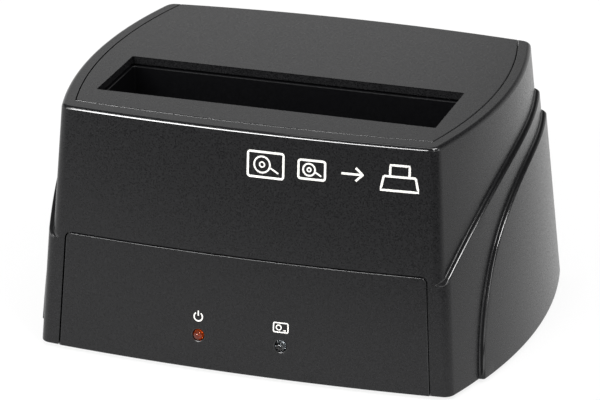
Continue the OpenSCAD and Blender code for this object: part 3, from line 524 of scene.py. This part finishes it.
def front_plate():
    """Plate let into the lower front, with rounded edges, a lip behind the housing and two lamp holes."""
    gap, foot_groove, side_groove = 0.12, 0.25, 0.8
    face, rear = window_grid(-gap - SEAM_ROUND), window_grid(LIP)
    depth = WALL + SEAM
    rows = [(window_grid(-gap - e), d) for e, d in reversed(round_rows(SEAM_ROUND, 5))]
    close = window_grid(SEAM - FIT)
    groove = np.where(window_rim(close)[:, 1] < Z0 + 1.0, foot_groove, side_groove)
    rows += [(window_grid(-gap), groove), (close, groove), (close, depth), (rear, depth), (rear, depth + LIP)]
    rims = [on_front(window_rim(g), d) for g, d in rows]
    plate = joined("front_plate", [loft("rim", rims, caps=False)] + [
        loft("face", [on_front(line, d) for line in g], closed=False, caps=False)
        for g, d in ((face, 0.0), (rear, depth + LIP))])
    clean(plate)
    # Lamp hole from the front: its radius and the depth where it has it.
    rows = [(2.6, -0.2), (2.2, 0.0), (1.84, 0.18), (1.78, 0.24), (1.75, 0.34), (1.75, 1.5), (2.0, 1.6),
            (2.0, 9.0)]
    a = np.linspace(0, 2 * math.pi, 48, endpoint=False)
    holes = []
    for x in (-LAMP_X, LAMP_X):
        holes.append(loft("lamp_hole", [
            on_front(np.column_stack([x + r * np.cos(a), LAMP_Z + r * np.sin(a)]), d) for r, d in rows]))
    return carve(plate, *holes)


def linear(hex_colour):
    """sRGB hex to the linear colour that Blender's sockets take."""
    parts = [int(hex_colour[i:i + 2], 16) / 255 for i in (1, 3, 5)]
    return tuple(c / 12.92 if c <= 0.04045 else ((c + 0.055) / 1.055) ** 2.4 for c in parts) + (1.0,)


def add(tree, kind, settings=None, **inputs):
    """Adds a node: settings are its properties, inputs its sockets' values or the sockets linked to them."""
    node = tree.nodes.new(kind)
    for key, value in (settings or {}).items():
        setattr(node, key, value)
    for key, value in inputs.items():
        numbered = key[0] == "i" and key[1:].isdigit()
        socket = node.inputs[int(key[1:]) if numbered else key.replace("_", " ")]
        if isinstance(value, bpy.types.NodeSocket):
            tree.links.new(value, socket)
        else:
            socket.default_value = value
    return node


def new_material(name):
    material = bpy.data.materials.new(name)
    material.use_nodes = True
    material.node_tree.nodes.clear()
    return material, material.node_tree


def finish_material(tree, shader):
    out = add(tree, "ShaderNodeOutputMaterial")
    tree.links.new(shader.outputs[0], out.inputs["Surface"])


# Moulded grain: its lighter tone against the darker one, its relief, and the part of the pattern over which
# its tone and its gloss change.
GRAIN_LIGHT, GRAIN_RELIEF, GRAIN_DEEP = 2.2, 0.35, 0.02 * MM
TONE_FROM, TONE_TO, GLOSS_FROM, GLOSS_TO = 0.35, 0.7, 0.3, 0.7
# Worked metal's dull tone and a matt grain's pale one, each against the main tone, and a matt grain's depth.
METAL_DULL, MATT_PALE, MATT_DEEP = 0.75, 1.5, 0.03 * MM


def moulded_tint(name, tone, rough_lo, rough_hi, grain_mm, specular=0.5, edge_gloss=0.0):
    """Moulded plastic: its tone and gloss vary with the tool's grain, and its edges are burnished."""
    material, tree = new_material(name)
    place = add(tree, "ShaderNodeTexCoord").outputs["Object"]
    grain = add(tree, "ShaderNodeTexNoise", Vector=place, Scale=1000.0 / grain_mm, Detail=3.0, Roughness=0.5)
    share = add(tree, "ShaderNodeMapRange", Value=grain.outputs[0], From_Min=TONE_FROM, From_Max=TONE_TO)
    light = tuple(c * GRAIN_LIGHT for c in linear(tone)[:3]) + (1.0,)
    tint = add(tree, "ShaderNodeMix", {"data_type": "RGBA"}, i0=share.outputs[0], i6=linear(tone), i7=light)
    rough = add(tree, "ShaderNodeMapRange", Value=grain.outputs[0], From_Min=GLOSS_FROM, From_Max=GLOSS_TO,
                To_Min=rough_lo, To_Max=rough_hi)
    edge = add(tree, "ShaderNodeAttribute", {"attribute_name": "edge"}).outputs["Fac"]
    burnish = add(tree, "ShaderNodeMath", {"operation": "MULTIPLY"}, i0=edge, i1=edge_gloss)
    gloss = add(tree, "ShaderNodeMath", {"operation": "SUBTRACT"}, i0=rough.outputs[0], i1=burnish.outputs[0])
    relief = add(tree, "ShaderNodeMath", {"operation": "MULTIPLY_ADD"}, i0=edge, i1=-GRAIN_RELIEF,
                 i2=GRAIN_RELIEF)
    bump = add(tree, "ShaderNodeBump", Strength=relief.outputs[0], Distance=GRAIN_DEEP,
               Height=grain.outputs[0])
    shader = add(tree, "ShaderNodeBsdfPrincipled", Base_Color=tint.outputs[2], Roughness=gloss.outputs[0],
                 Normal=bump.outputs[0], IOR=1.53, Specular_IOR_Level=specular, Coat_Weight=edge,
                 Coat_Roughness=0.1, Coat_IOR=1.6)
    finish_material(tree, shader)
    return material


def brushed_metal(name, tone, rough_lo, rough_hi, grain_mm, **extra):
    """Worked metal: a tone and a gloss that vary a little with the grain of its plating or drawing."""
    material, tree = new_material(name)
    place = add(tree, "ShaderNodeTexCoord").outputs["Object"]
    grain = add(tree, "ShaderNodeTexNoise", Vector=place, Scale=1000.0 / grain_mm, Detail=2.0, Roughness=0.6)
    dull = tuple(c * METAL_DULL for c in linear(tone)[:3]) + (1.0,)
    tint = add(tree, "ShaderNodeMix", {"data_type": "RGBA"}, i0=grain.outputs[0], i6=linear(tone), i7=dull)
    rough = add(tree, "ShaderNodeMapRange", Value=grain.outputs[0], To_Min=rough_lo, To_Max=rough_hi)
    shader = add(tree, "ShaderNodeBsdfPrincipled", Base_Color=tint.outputs[2], Metallic=1.0,
                 Roughness=rough.outputs[0], **extra)
    finish_material(tree, shader)
    return material


def matt_finish(name, tone, rough_lo, rough_hi, grain_mm, bump_strength=0.1):
    """Matt moulded or sintered surface: tone, gloss and relief varied by a fine grain."""
    material, tree = new_material(name)
    place = add(tree, "ShaderNodeTexCoord").outputs["Object"]
    grain = add(tree, "ShaderNodeTexNoise", Vector=place, Scale=1000.0 / grain_mm, Detail=4.0, Roughness=0.6)
    pale = tuple(c * MATT_PALE for c in linear(tone)[:3]) + (1.0,)
    tint = add(tree, "ShaderNodeMix", {"data_type": "RGBA"}, i0=grain.outputs[0], i6=linear(tone), i7=pale)
    rough = add(tree, "ShaderNodeMapRange", Value=grain.outputs[0], To_Min=rough_lo, To_Max=rough_hi)
    bump = add(tree, "ShaderNodeBump", Strength=bump_strength, Distance=MATT_DEEP, Height=grain.outputs[0])
    shader = add(tree, "ShaderNodeBsdfPrincipled", Base_Color=tint.outputs[2], Roughness=rough.outputs[0],
                 Normal=bump.outputs[0])
    finish_material(tree, shader)
    return material


# Spark-eroded ABS: black shell, satin with a fine sparkle from the tool. The real grain, about 0.1 mm, is too
# fine to show, so it is drawn at 0.45 mm.
shell_abs = moulded_tint("abs_shell_spark_moulded", "#0e0e0f", 0.22, 0.38, 0.45, specular=0.28,
                         edge_gloss=0.2)
# Walls of the side steps in the same ABS: left rough by the tool, and given a darker tone as painted shade, so
# that they look blacker; the same grain.
shaded_step_abs = moulded_tint("abs_step_wall_painted_shade", "#070708", 0.65, 0.8, 0.45, specular=0.15)
# Inner ABS moulding: dull, from a rougher tool, with its 0.1 mm grain drawn at 0.5 mm; its tone, darker than
# the shell's, is painted shade deep in the drive slot.
inner_abs = moulded_tint("abs_inner_painted_shade", "#040405", 0.5, 0.65, 0.5, specular=0.06)
# The same inner moulding along its edges, where the tool left it smooth; its lighter tone is a painted
# highlight along the rims.
highlit_inner_edge_abs = moulded_tint("abs_inner_edge_painted_highlight", "#0d0d0e", 0.16, 0.26, 0.5, specular=0.4)
# PBT connector shells: matt black and close-grained, the 0.05 mm grain drawn at 0.3 mm.
connector_pbt = moulded_tint("pbt_connector_moulded", "#0e0e0f", 0.45, 0.6, 0.3)
# Blue PBT insulator: the port's colour, matt, with the same grain.
blue_pbt = moulded_tint("pbt_insulator_blue", "#274f8e", 0.4, 0.55, 0.3)
# Epoxy chip bodies, moulded: near black and matt, their 0.05 mm filler drawn at 0.6 mm.
chip_epoxy_mat = matt_finish("epoxy_chip_moulded", "#17171a", 0.55, 0.75, 0.6)
# Rubber feet, moulded: soft black with hardly a sheen, their 0.05 mm pores drawn at 0.3 mm.
rubber_mat = matt_finish("rubber_foot_moulded", "#161616", 0.75, 0.92, 0.3, bump_strength=0.05)
# Ferrite core, sintered: dull dark grey powder of 0.02 mm, drawn at 0.15 mm.
ferrite_mat = matt_finish("ferrite_core_sintered", "#2a2b2d", 0.6, 0.8, 0.15)

# Aluminium cans, drawn: bright, with faint marks of the die, 0.1 mm apart and drawn at 0.6 mm.
aluminium_mat = brushed_metal("aluminium_can_drawn", "#aeb4b9", 0.18, 0.3, 0.6)
# Steel sheet, nickel plated: bright and a little streaked by rolling, 0.1 mm drawn at 0.4 mm.
steel_mat = brushed_metal("steel_nickel_plated", "#c2c6c9", 0.16, 0.28, 0.4, Anisotropic=0.25)
# Steel screws, zinc plated: duller and faintly yellow, with crystals of 0.05 mm drawn at 0.35 mm.
screw_mat = brushed_metal("steel_screw_zinc_plated", "#9c9788", 0.28, 0.4, 0.35)
# Contacts of copper alloy, gold flashed: warm and bright, the 0.05 mm rolling marks drawn at 0.2 mm.
gold_mat = brushed_metal("copper_gold_flashed", "#d8ac5c", 0.14, 0.26, 0.2, Anisotropic=0.2)

# Board: cells between the traces, the traces' width as a share of a cell, and the solder mask's grain.
TRACE_CELL_MM, TRACE_SHARE, MASK_GRAIN_MM = 3.2, 0.012, 0.2


def board_material():
    """FR4: green solder mask, with the copper of the traces showing through it."""
    material, tree = new_material("fr4_board_soldermask")
    place = add(tree, "ShaderNodeTexCoord").outputs["Object"]
    cells = add(tree, "ShaderNodeTexVoronoi", {"voronoi_dimensions": "3D", "feature": "DISTANCE_TO_EDGE"},
                Vector=place, Scale=1000.0 / TRACE_CELL_MM)
    traces = add(tree, "ShaderNodeMath", {"operation": "LESS_THAN"}, i0=cells.outputs["Distance"],
                 i1=TRACE_SHARE)
    grain = add(tree, "ShaderNodeTexNoise", Vector=place, Scale=1000.0 / MASK_GRAIN_MM, Detail=2.0)
    mask_tone, copper_tone = linear("#1e5a3a"), linear("#b37346")
    tint = add(tree, "ShaderNodeMix", {"data_type": "RGBA"}, i0=traces.outputs[0], i6=mask_tone,
               i7=copper_tone)
    rough = add(tree, "ShaderNodeMapRange", Value=grain.outputs[0], To_Min=0.35, To_Max=0.5)
    bump = add(tree, "ShaderNodeBump", Strength=0.1, Distance=MATT_DEEP, Height=grain.outputs[0])
    shader = add(tree, "ShaderNodeBsdfPrincipled", Base_Color=tint.outputs[2], Roughness=rough.outputs[0],
                 Normal=bump.outputs[0])
    finish_material(tree, shader)
    return material


board_mat = board_material()

# Spacing of the ripple that a lens takes from its mould.
RIPPLE_MM = 1.2


def epoxy_lens(name, tone, rough_lo, rough_hi, **extra):
    """Cast epoxy lens: clear or tinted and smooth, with the faint ripple of its mould."""
    material, tree = new_material(name)
    place = add(tree, "ShaderNodeTexCoord").outputs["Object"]
    ripple = add(tree, "ShaderNodeTexNoise", Vector=place, Scale=1000.0 / RIPPLE_MM, Detail=1.0)
    rough = add(tree, "ShaderNodeMapRange", Value=ripple.outputs[0], To_Min=rough_lo, To_Max=rough_hi)
    shader = add(tree, "ShaderNodeBsdfPrincipled", Base_Color=linear(tone), Roughness=rough.outputs[0],
                 IOR=1.5, Transmission_Weight=1.0, Specular_IOR_Level=0.6, **extra)
    finish_material(tree, shader)
    return material


# Power lamp's amber epoxy: clear and tinted, deep where it is thick, with a faint warm glow.
amber_mat = epoxy_lens("epoxy_lens_amber_tinted", "#e0521c", 0.04, 0.08,
                       Emission_Color=linear("#ff6a1a"), Emission_Strength=0.08)
# Activity lamp's water-clear epoxy: unlit, catching light as glass does.
clear_mat = epoxy_lens("epoxy_lens_clear", "#e4e8ea", 0.03, 0.07)

# Pooling of the ink through the screen's mesh.
INK_GRAIN_MM = 0.3


def print_white():
    """Screen-printed white ink: flat, faintly glossy where the ink pooled."""
    material, tree = new_material("ink_print_screened")
    place = add(tree, "ShaderNodeTexCoord").outputs["Object"]
    grain = add(tree, "ShaderNodeTexNoise", Vector=place, Scale=1000.0 / INK_GRAIN_MM, Detail=2.0)
    rough = add(tree, "ShaderNodeMapRange", Value=grain.outputs[0], To_Min=0.3, To_Max=0.45)
    shader = add(tree, "ShaderNodeBsdfPrincipled", Base_Color=linear("#e9e7e2"), Roughness=rough.outputs[0])
    finish_material(tree, shader)
    return material


print_mat = print_white()

# Shells: the front panel's edges are less burnished than the others.
PANEL_POLISH = 0.4
housing = polish_edges(housing_shell(), where=burnished_on_case)
top = polish_edges(top_plate())
front = polish_edges(front_plate(), PANEL_POLISH)
for solid, piece in (("housing", housing), ("top_panel", top), ("front_panel", front)):
    dress(smooth(piece), "dock", "shell_plastic", shell_abs, solid)
    piece.name = solid + "_shell"
# The steps' walls take the darker, rougher copy of the shell: painted shade on the risers.
rough_shaded_walls(housing, shaded_step_abs)


def soften(node, width, segments=3, angle=28):
    """Rounds a carried-over solid's own hard edges with a bevel, for a moulded or turned look."""
    node.modifiers.new("shared_points", "WELD").merge_threshold = SAME_POINT
    flats = node.modifiers.new("whole_flats", "DECIMATE")
    flats.decimate_type, flats.angle_limit = "DISSOLVE", math.radians(0.5)
    bevel = node.modifiers.new("edge_round", "BEVEL")
    bevel.width = width * MM
    bevel.segments = segments
    bevel.limit_method = "ANGLE"
    bevel.angle_limit = math.radians(angle)
    bevel.harden_normals = True
    bevel.use_clamp_overlap = False
    weighted = node.modifiers.new("even_normals", "WEIGHTED_NORMAL")
    weighted.keep_sharp = True


MATERIAL_OF_SLOT = {
    "shell_plastic": shell_abs, "inner_plastic": inner_abs, "board": board_mat,
    "connector_plastic": connector_pbt, "gold_contact": gold_mat, "bright_steel": steel_mat,
    "port_blue": blue_pbt, "chip_epoxy": chip_epoxy_mat, "can_aluminium": aluminium_mat,
    "ferrite": ferrite_mat, "amber_epoxy": amber_mat, "clear_epoxy": clear_mat,
    "rubber": rubber_mat, "screw_steel": screw_mat,
}
BEVEL_WIDTH = {
    "rear_panel": 0.3, "base_plate": 0.25, "drive_well": 0.3, "main_board": 0.06, "sata_connector": 0.15,
    "usb_shell": 0.15, "usb_insulator": 0.12, "dc_jack": 0.2, "switch_body": 0.2, "bridge_chip": 0.03,
    "flash_chip": 0.08, "crystal": 0.15, "regulator": 0.1, "power_coil": 0.15, "capacitors": 0.2,
    "led_holders": 0.1, "rubber_feet": 0.3,
}
REPLACED = ("housing", "top_panel", "front_panel", "switch_rocker", "power_led", "activity_led")
for name, node in nodes.items():
    if name in REPLACED:
        continue
    slot = node.material_slots[0].material.name if node.material_slots else None
    node.data.materials.clear()
    node.data.materials.append(MATERIAL_OF_SLOT.get(slot, inner_abs))
    if name in BEVEL_WIDTH:
        soften(node, BEVEL_WIDTH[name])
    # Bevelled edges of the inner mouldings take the lighter copy of the inner ABS: a painted highlight.
    if slot == "inner_plastic" and name in BEVEL_WIDTH:
        node.data.materials.append(highlit_inner_edge_abs)
        node.modifiers["edge_round"].material = 1


def stroke(points, width, place, closed=False, proud=0.03, sunk=0.05):
    """Flat printed line along points of a surface, as a thin closed strip."""
    p = np.array(points, float)
    way = np.roll(p, -1, 0) - np.roll(p, 1, 0) if closed else np.gradient(p, axis=0)
    off = np.stack([-way[:, 1], way[:, 0]], -1) / np.linalg.norm(way, axis=1)[:, None] * width / 2
    sides = [place(p + off, -proud), place(p - off, -proud), place(p - off, sunk), place(p + off, sunk)]
    rings = [np.array([s[i] for s in sides]) for i in range(len(p))]
    return loft("stroke", rings + rings[:1] if closed else rings, caps=not closed)


def arc(centre, r, start=0.0, end=360.0, n=40):
    a = np.radians(np.linspace(start, end, n, endpoint=end - start < 360))
    return np.column_stack([centre[0] + r * np.cos(a), centre[1] + r * np.sin(a)])


def bar(a, b, n=12):
    return np.linspace(a, b, n)


def path(*corners):
    """Points along straight lines through corners, close enough to follow a bowed face."""
    return np.vstack([bar(a, b, 6)[:-1] for a, b in zip(corners[:-1], corners[1:])] + [corners[-1:]])


def box_line(x, z, w, h, r):
    return rounded_polygon([(x, z), (x + w, z), (x + w, z + h), (x, z + h)], r, spacing=1.0)


# Rocker key: hollowed between its two crowns, on a pin, turned half its travel to one side at rest.
ROCKER_HALF, ROCKER_FOOT, ROCKER_LOW, ROCKER_TALL = 5.2, 4.4, 1.0, 7.0
ROCKER_DIP, ROCKER_RISE, ROCKER_REST = 0.2, 1.0, math.radians(-10)
ROCKER_PIN, ROCKER_PIN_OUT, ROCKER_ROUND, ROCKER_MIDDLE, ROCKER_REACH = 0.95, 0.9, 0.4, 1.4, 4.5
MARK_AT, MARK_HALF, RING_R = 3.0, 1.3, 1.2


def key_face(u):
    return ROCKER_PIVOT + ROCKER_DIP + ROCKER_RISE * np.square(u / ROCKER_HALF)


def on_rocker(u, v, z):
    c, s = math.cos(ROCKER_REST), math.sin(ROCKER_REST)
    x, y = SWITCH_X + c * u - s * v, SWITCH_FACE - ROCKER_PIVOT + s * u + c * v
    return np.column_stack([x, y, SWITCH_Z + z])


def on_key(points, depth):
    return on_rocker(points[:, 0], key_face(points[:, 0]) - depth, points[:, 1])


def rocker_key():
    u = np.linspace(ROCKER_HALF, -ROCKER_HALF, 25)
    foot = np.linspace(-ROCKER_FOOT, ROCKER_FOOT, 13)
    top = key_face(ROCKER_HALF)
    flank = [(ROCKER_FOOT + (ROCKER_HALF - ROCKER_FOOT) * k, -ROCKER_LOW + (top + ROCKER_LOW) * k)
             for k in (0.25, 0.5, 0.75)]
    profile = np.vstack([np.column_stack([u, key_face(u)]), [(-a, b) for a, b in reversed(flank)],
                         np.column_stack([foot, np.full(len(foot), -ROCKER_LOW)]), flank])
    middle = np.array([0.0, ROCKER_MIDDLE])
    turn = np.arctan2(profile[:, 1], profile[:, 0])
    pin = ROCKER_PIN * np.column_stack([np.cos(turn), np.sin(turn)])
    half = ROCKER_TALL / 2
    rows = [(pin, half + ROCKER_PIN_OUT), (pin, half)]
    for inset, under in reversed(round_rows(ROCKER_ROUND, 5)):
        rows.append((profile + (middle - profile) * inset / ROCKER_REACH, half - under))
    rows += [(p, -z) for p, z in reversed(rows)]
    return loft("rocker_key", [on_rocker(p[:, 0], p[:, 1], np.full(len(p), z)) for p, z in rows])


dress(smooth(rocker_key()), "rocker", "connector_plastic", connector_pbt, "switch_rocker")
marks = joined("rocker_marks", [stroke(bar((-MARK_AT, -MARK_HALF), (-MARK_AT, MARK_HALF)), 0.45, on_key),
                                stroke(arc((MARK_AT, 0.0), RING_R), 0.4, on_key, closed=True)])
dress(marks, "rocker", "shell_plastic", print_mat)

# Lamps: domed lens on its flange, over a cupped post and an anvil of stamped wire.
LAMP_BACK = float(front_y(LAMP_X, LAMP_Z)) - LAMP_PROUD + LAMP_LONG
LENS_R, LENS_SEGMENTS = 1.5, 40


def turned(x, rows, name="turned"):
    """Body of rotation about a lamp's axis; rows are (radius, distance in front of the lamp's back)."""
    a = np.linspace(0, 2 * math.pi, LENS_SEGMENTS, endpoint=False)
    return loft(name, [np.column_stack([x + r * np.cos(a), np.full(len(a), LAMP_BACK - d),
                                        LAMP_Z + r * np.sin(a)]) for r, d in rows])


def wire(x, across, up, rows):
    """Stamped wire of a lamp; rows are (half its width, distance in front of the lamp's back)."""
    return loft("wire", [np.array([(x + across + i * w, LAMP_BACK - d, LAMP_Z + j * up)
                                   for i, j in ((-1, -1), (1, -1), (1, 1), (-1, 1))]) for w, d in rows])


def lamp(name, x, material, slot, node):
    # Lens from its flange to its dome.
    bend = np.linspace(0, math.pi / 2, 14)[:-1]
    rows = [(1.75, 0.0), (1.86, 0.05), (1.9, 0.15), (1.9, 0.85), (1.86, 0.95), (1.75, 1.0), (LENS_R, 1.02)]
    rows += [(LENS_R, 2.4)]
    rows += [(LENS_R * math.cos(b), 3.8 + LENS_R * math.sin(b)) for b in bend] + [(0.03, LAMP_LONG)]
    dress(smooth(turned(x, rows, name + "_lens"), 40), "dock", slot, material, node)
    cup = turned(x, [(0.2, 1.6), (0.5, 2.3), (0.72, 2.9), (0.66, 2.92), (0.36, 2.55), (0.05, 2.52)])
    post = wire(x, -0.45, 0.2, [(0.22, 0.1), (0.22, 1.5), (0.42, 2.0), (0.42, 2.3)])
    anvil = wire(x, 0.75, 0.2, [(0.22, 0.1), (0.22, 1.4), (0.34, 2.0), (0.2, 2.7)])
    dress(joined(name + "_wires", [cup, post, anvil]), "dock", "bright_steel", steel_mat)


lamp("power_lamp", -LAMP_X, amber_mat, "amber_epoxy", "power_led")
lamp("activity_lamp", LAMP_X, clear_mat, "clear_epoxy", "activity_led")

# Plain signs in white ink: standby and drive over the lamps, drives and dock higher up, d.c. at the back.
SIGN_Z, ROW_Z, ROW_HIGH = 16.9, 61.2, 7.4
ROW_MID, ROW_TOP, DOCK_TOP = ROW_Z + ROW_HIGH / 2, ROW_Z + ROW_HIGH, ROW_Z + 4.1
BOLD, MEDIUM, PLAIN, THIN, FINE = 0.65, 0.5, 0.4, 0.36, 0.32
standby = [stroke(arc((-LAMP_X, SIGN_Z), 1.3, 125, 415), PLAIN, on_front),
           stroke(bar((-LAMP_X, SIGN_Z + 0.3), (-LAMP_X, SIGN_Z + 1.8)), PLAIN, on_front)]
drive = [stroke(box_line(LAMP_X - 2.2, SIGN_Z - 1.4, 4.4, 2.8, 0.4), THIN, on_front, closed=True),
         stroke(arc((LAMP_X - 0.6, SIGN_Z), 0.75), FINE, on_front, closed=True),
         stroke(bar((LAMP_X + 0.8, SIGN_Z - 0.8), (LAMP_X + 1.6, SIGN_Z - 0.8)), FINE, on_front)]
row = []
for x, w, h in ((1.8, 10.7, ROW_HIGH), (17.0, 7.9, 5.5)):
    z = ROW_Z + (ROW_HIGH - h) / 2
    hub = (x + w * 0.4, z + h / 2)
    row += [stroke(box_line(x, z, w, h, 0.7), BOLD, on_front, closed=True),
            stroke(arc(hub, h * 0.32), MEDIUM, on_front, closed=True),
            stroke(arc(hub, h * 0.1), PLAIN, on_front, closed=True),
            stroke(bar((x + w * 0.86, z + h * 0.2), (x + w * 0.6, z + h * 0.42)), MEDIUM, on_front)]
arrow = [bar((29.7, ROW_MID), (35.8, ROW_MID)),
         path((33.9, ROW_MID + 1.9), (36.0, ROW_MID), (33.9, ROW_MID - 1.9))]
dock = [path((42.1, DOCK_TOP), (41.2, ROW_Z), (52.2, ROW_Z), (51.3, DOCK_TOP)),
        bar((42.1, DOCK_TOP), (51.3, DOCK_TOP)),
        path((43.9, DOCK_TOP + 0.3), (43.9, ROW_TOP), (49.5, ROW_TOP), (49.5, DOCK_TOP + 0.3))]
row += [stroke(line, BOLD, on_front) for line in arrow + dock]
supply = [stroke(bar((-28.5, 27.6), (-23.5, 27.6)), PLAIN, on_back)]
supply += [stroke(bar((x, 26.6), (x + 1.2, 26.6), 4), PLAIN, on_back) for x in (-28.5, -26.6, -24.7)]
for name, lines in (("standby_sign", standby), ("drive_sign", drive), ("dock_signs", row),
                    ("supply_sign", supply)):
    dress(joined(name, lines), "dock", "shell_plastic", print_mat)

# Floor and light: white round the horizon, a dark ceiling, and soft lights.
FLOOR_HALF = 6
floor_mesh = bpy.data.meshes.new("floor")
floor_mesh.from_pydata([(x * FLOOR_HALF, y * FLOOR_HALF, 0) for x, y in ((-1, -1), (1, -1), (1, 1), (-1, 1))],
                       [], [(0, 1, 2, 3)])
floor = bpy.data.objects.new("floor", floor_mesh)
scene.collection.objects.link(floor)
# Matt paper: seen even, pale and nearly white, with the object's soft shadow left on it. A pool of light is
# painted on it: its tone, and its mirror image in the object, darken towards the front and the right as a
# painted fall-off of the light on the paper. Where each fall starts and ends is in metres from the middle.
FLOOR_WHITE, WHITE_FROM = 0.82, 0.7
AHEAD, FRONT_FALL, RIGHT_FALL, RIGHT_LEAST = (0.337, -0.942, 0.0), (0.13, 0.22), (0.07, 0.15), 0.6
paper, tree = new_material("paper_backdrop_painted_pool")
rays = add(tree, "ShaderNodeLightPath")
spot = add(tree, "ShaderNodeTexCoord").outputs["Object"]
ahead = add(tree, "ShaderNodeVectorMath", {"operation": "DOT_PRODUCT"}, i0=spot, i1=AHEAD)
near = add(tree, "ShaderNodeMapRange", Value=ahead.outputs["Value"], From_Min=FRONT_FALL[0],
           From_Max=FRONT_FALL[1], To_Min=1.0, To_Max=0.0)
across = add(tree, "ShaderNodeSeparateXYZ", i0=spot)
left = add(tree, "ShaderNodeMapRange", Value=across.outputs["X"], From_Min=RIGHT_FALL[0],
           From_Max=RIGHT_FALL[1], To_Min=1.0, To_Max=RIGHT_LEAST)
pool = add(tree, "ShaderNodeMath", {"operation": "MULTIPLY"}, i0=near.outputs[0], i1=left.outputs[0])
bright = add(tree, "ShaderNodeMapRange", Value=pool.outputs[0], From_Min=WHITE_FROM, To_Min=1.0,
             To_Max=FLOOR_WHITE)
seen = add(tree, "ShaderNodeMath", {"operation": "MAXIMUM"}, i0=rays.outputs["Is Camera Ray"],
           i1=rays.outputs["Is Transmission Ray"])
direct = add(tree, "ShaderNodeMath", {"operation": "MULTIPLY"}, i0=seen.outputs[0], i1=bright.outputs[0])
mirror = add(tree, "ShaderNodeMath", {"operation": "MULTIPLY"}, i0=pool.outputs[0], i1=FLOOR_WHITE)
mirrored = add(tree, "ShaderNodeMath", {"operation": "MULTIPLY"}, i0=rays.outputs["Is Glossy Ray"],
               i1=mirror.outputs[0])
share = add(tree, "ShaderNodeMath", {"operation": "MAXIMUM"}, i0=direct.outputs[0], i1=mirrored.outputs[0])
# The paper's tone is painted light: pale within the pool and dark away from it.
tone = add(tree, "ShaderNodeMix", {"data_type": "RGBA"}, i0=pool.outputs[0], i6=linear("#202020"),
           i7=linear("#f2f2f2"))
sheet = add(tree, "ShaderNodeBsdfPrincipled", Base_Color=tone.outputs[2], Roughness=0.9)
white = add(tree, "ShaderNodeEmission", Strength=1.0)
finish_material(tree, add(tree, "ShaderNodeMixShader", i0=share.outputs[0], i1=sheet.outputs[0],
                          i2=white.outputs[0]))
floor_mesh.materials.append(paper)

# Studio round it: white at the horizon and dark overhead where it is seen or mirrored, else an even fill.
SKY_FILL, WHITE_BELOW, DARK_ABOVE, CEILING = 0.6, 0.08, 0.43, 0.1
world = bpy.data.worlds.new("studio")
scene.world = world
world.use_nodes = True
tree = world.node_tree
tree.nodes.clear()
way = add(tree, "ShaderNodeSeparateXYZ", i0=add(tree, "ShaderNodeTexCoord").outputs["Generated"])
studio = add(tree, "ShaderNodeMapRange", Value=way.outputs["Z"], From_Min=WHITE_BELOW, From_Max=DARK_ABOVE,
             To_Min=1.0, To_Max=CEILING)
rays = add(tree, "ShaderNodeLightPath")
straight = add(tree, "ShaderNodeMath", {"operation": "MAXIMUM"}, i0=rays.outputs["Is Camera Ray"],
               i1=rays.outputs["Is Glossy Ray"])
seen = add(tree, "ShaderNodeMath", {"operation": "MAXIMUM"}, i0=straight.outputs[0],
           i1=rays.outputs["Is Transmission Ray"])
level = add(tree, "ShaderNodeMapRange", Value=seen.outputs[0], To_Min=SKY_FILL, To_Max=studio.outputs[0])
sky = add(tree, "ShaderNodeBackground", Color=(1, 1, 1, 1), Strength=level.outputs[0])
out = add(tree, "ShaderNodeOutputWorld")
tree.links.new(sky.outputs[0], out.inputs["Surface"])

# Soft lights, all turned to the middle of the object: name, place, size and power.
AIM = Vector((0, 0, 0.04))
SOFTBOXES = (
    ("back_left_softbox", (-0.45, 0.8, 0.42), (0.6, 0.3), 0.25),
    ("right_softbox", (0.9, 0.1, 0.4), (0.4, 0.4), 0.7),
    ("right_front_softbox", (0.8, -0.72, 0.63), (0.15, 0.7), 1.1),
    ("near_left_softbox", (-0.3, -0.28, 0.2), (0.15, 0.15), 0.3),
    ("overhead_softbox", (0, 0.1, 0.9), (0.5, 0.5), 1.5),
    ("overhead_strip", (0.55, -0.2, 0.85), (0.6, 0.15), 5.0),
    ("front_left_softbox", (-0.44, -1.2, 0.735), (0.8, 0.3), 17.0),
)
for name, place, size, watts in SOFTBOXES:
    light = bpy.data.lights.new(name, "AREA")
    light.shape = "RECTANGLE"
    light.size, light.size_y = size
    light.energy = watts
    softbox = bpy.data.objects.new(name, light)
    softbox.location = place
    softbox.rotation_euler = (AIM - Vector(place)).to_track_quat("-Z", "Y").to_euler()
    scene.collection.objects.link(softbox)

# Camera, fitted to the photo: its focal length in pixels, and where it looks from round a point of the case.
SENSOR, FOCAL_PIXELS, PHOTO_PIXELS = 36.0, 3533, 600
AZIMUTH, ELEVATION, ROLL = math.radians(19.69), math.radians(23.11), math.radians(-0.975)
DISTANCE, LOOKS_AT = 1.0401, Vector((6.73, -15.6, 41.86)) * MM
camera_data = bpy.data.cameras.new("camera")
camera_data.sensor_width = SENSOR
camera_data.lens = SENSOR * FOCAL_PIXELS / PHOTO_PIXELS
camera_data.clip_end = 50
camera = bpy.data.objects.new("camera", camera_data)
scene.collection.objects.link(camera)
scene.camera = camera
back = Vector((math.sin(AZIMUTH) * math.cos(ELEVATION), -math.cos(AZIMUTH) * math.cos(ELEVATION),
               math.sin(ELEVATION)))
camera.location = LOOKS_AT + back * DISTANCE
camera.rotation_mode = "QUATERNION"
camera.rotation_quaternion = (-back).to_track_quat("-Z", "Y") @ Matrix.Rotation(ROLL, 4, "Z").to_quaternion()

scene.view_settings.view_transform = "Standard"
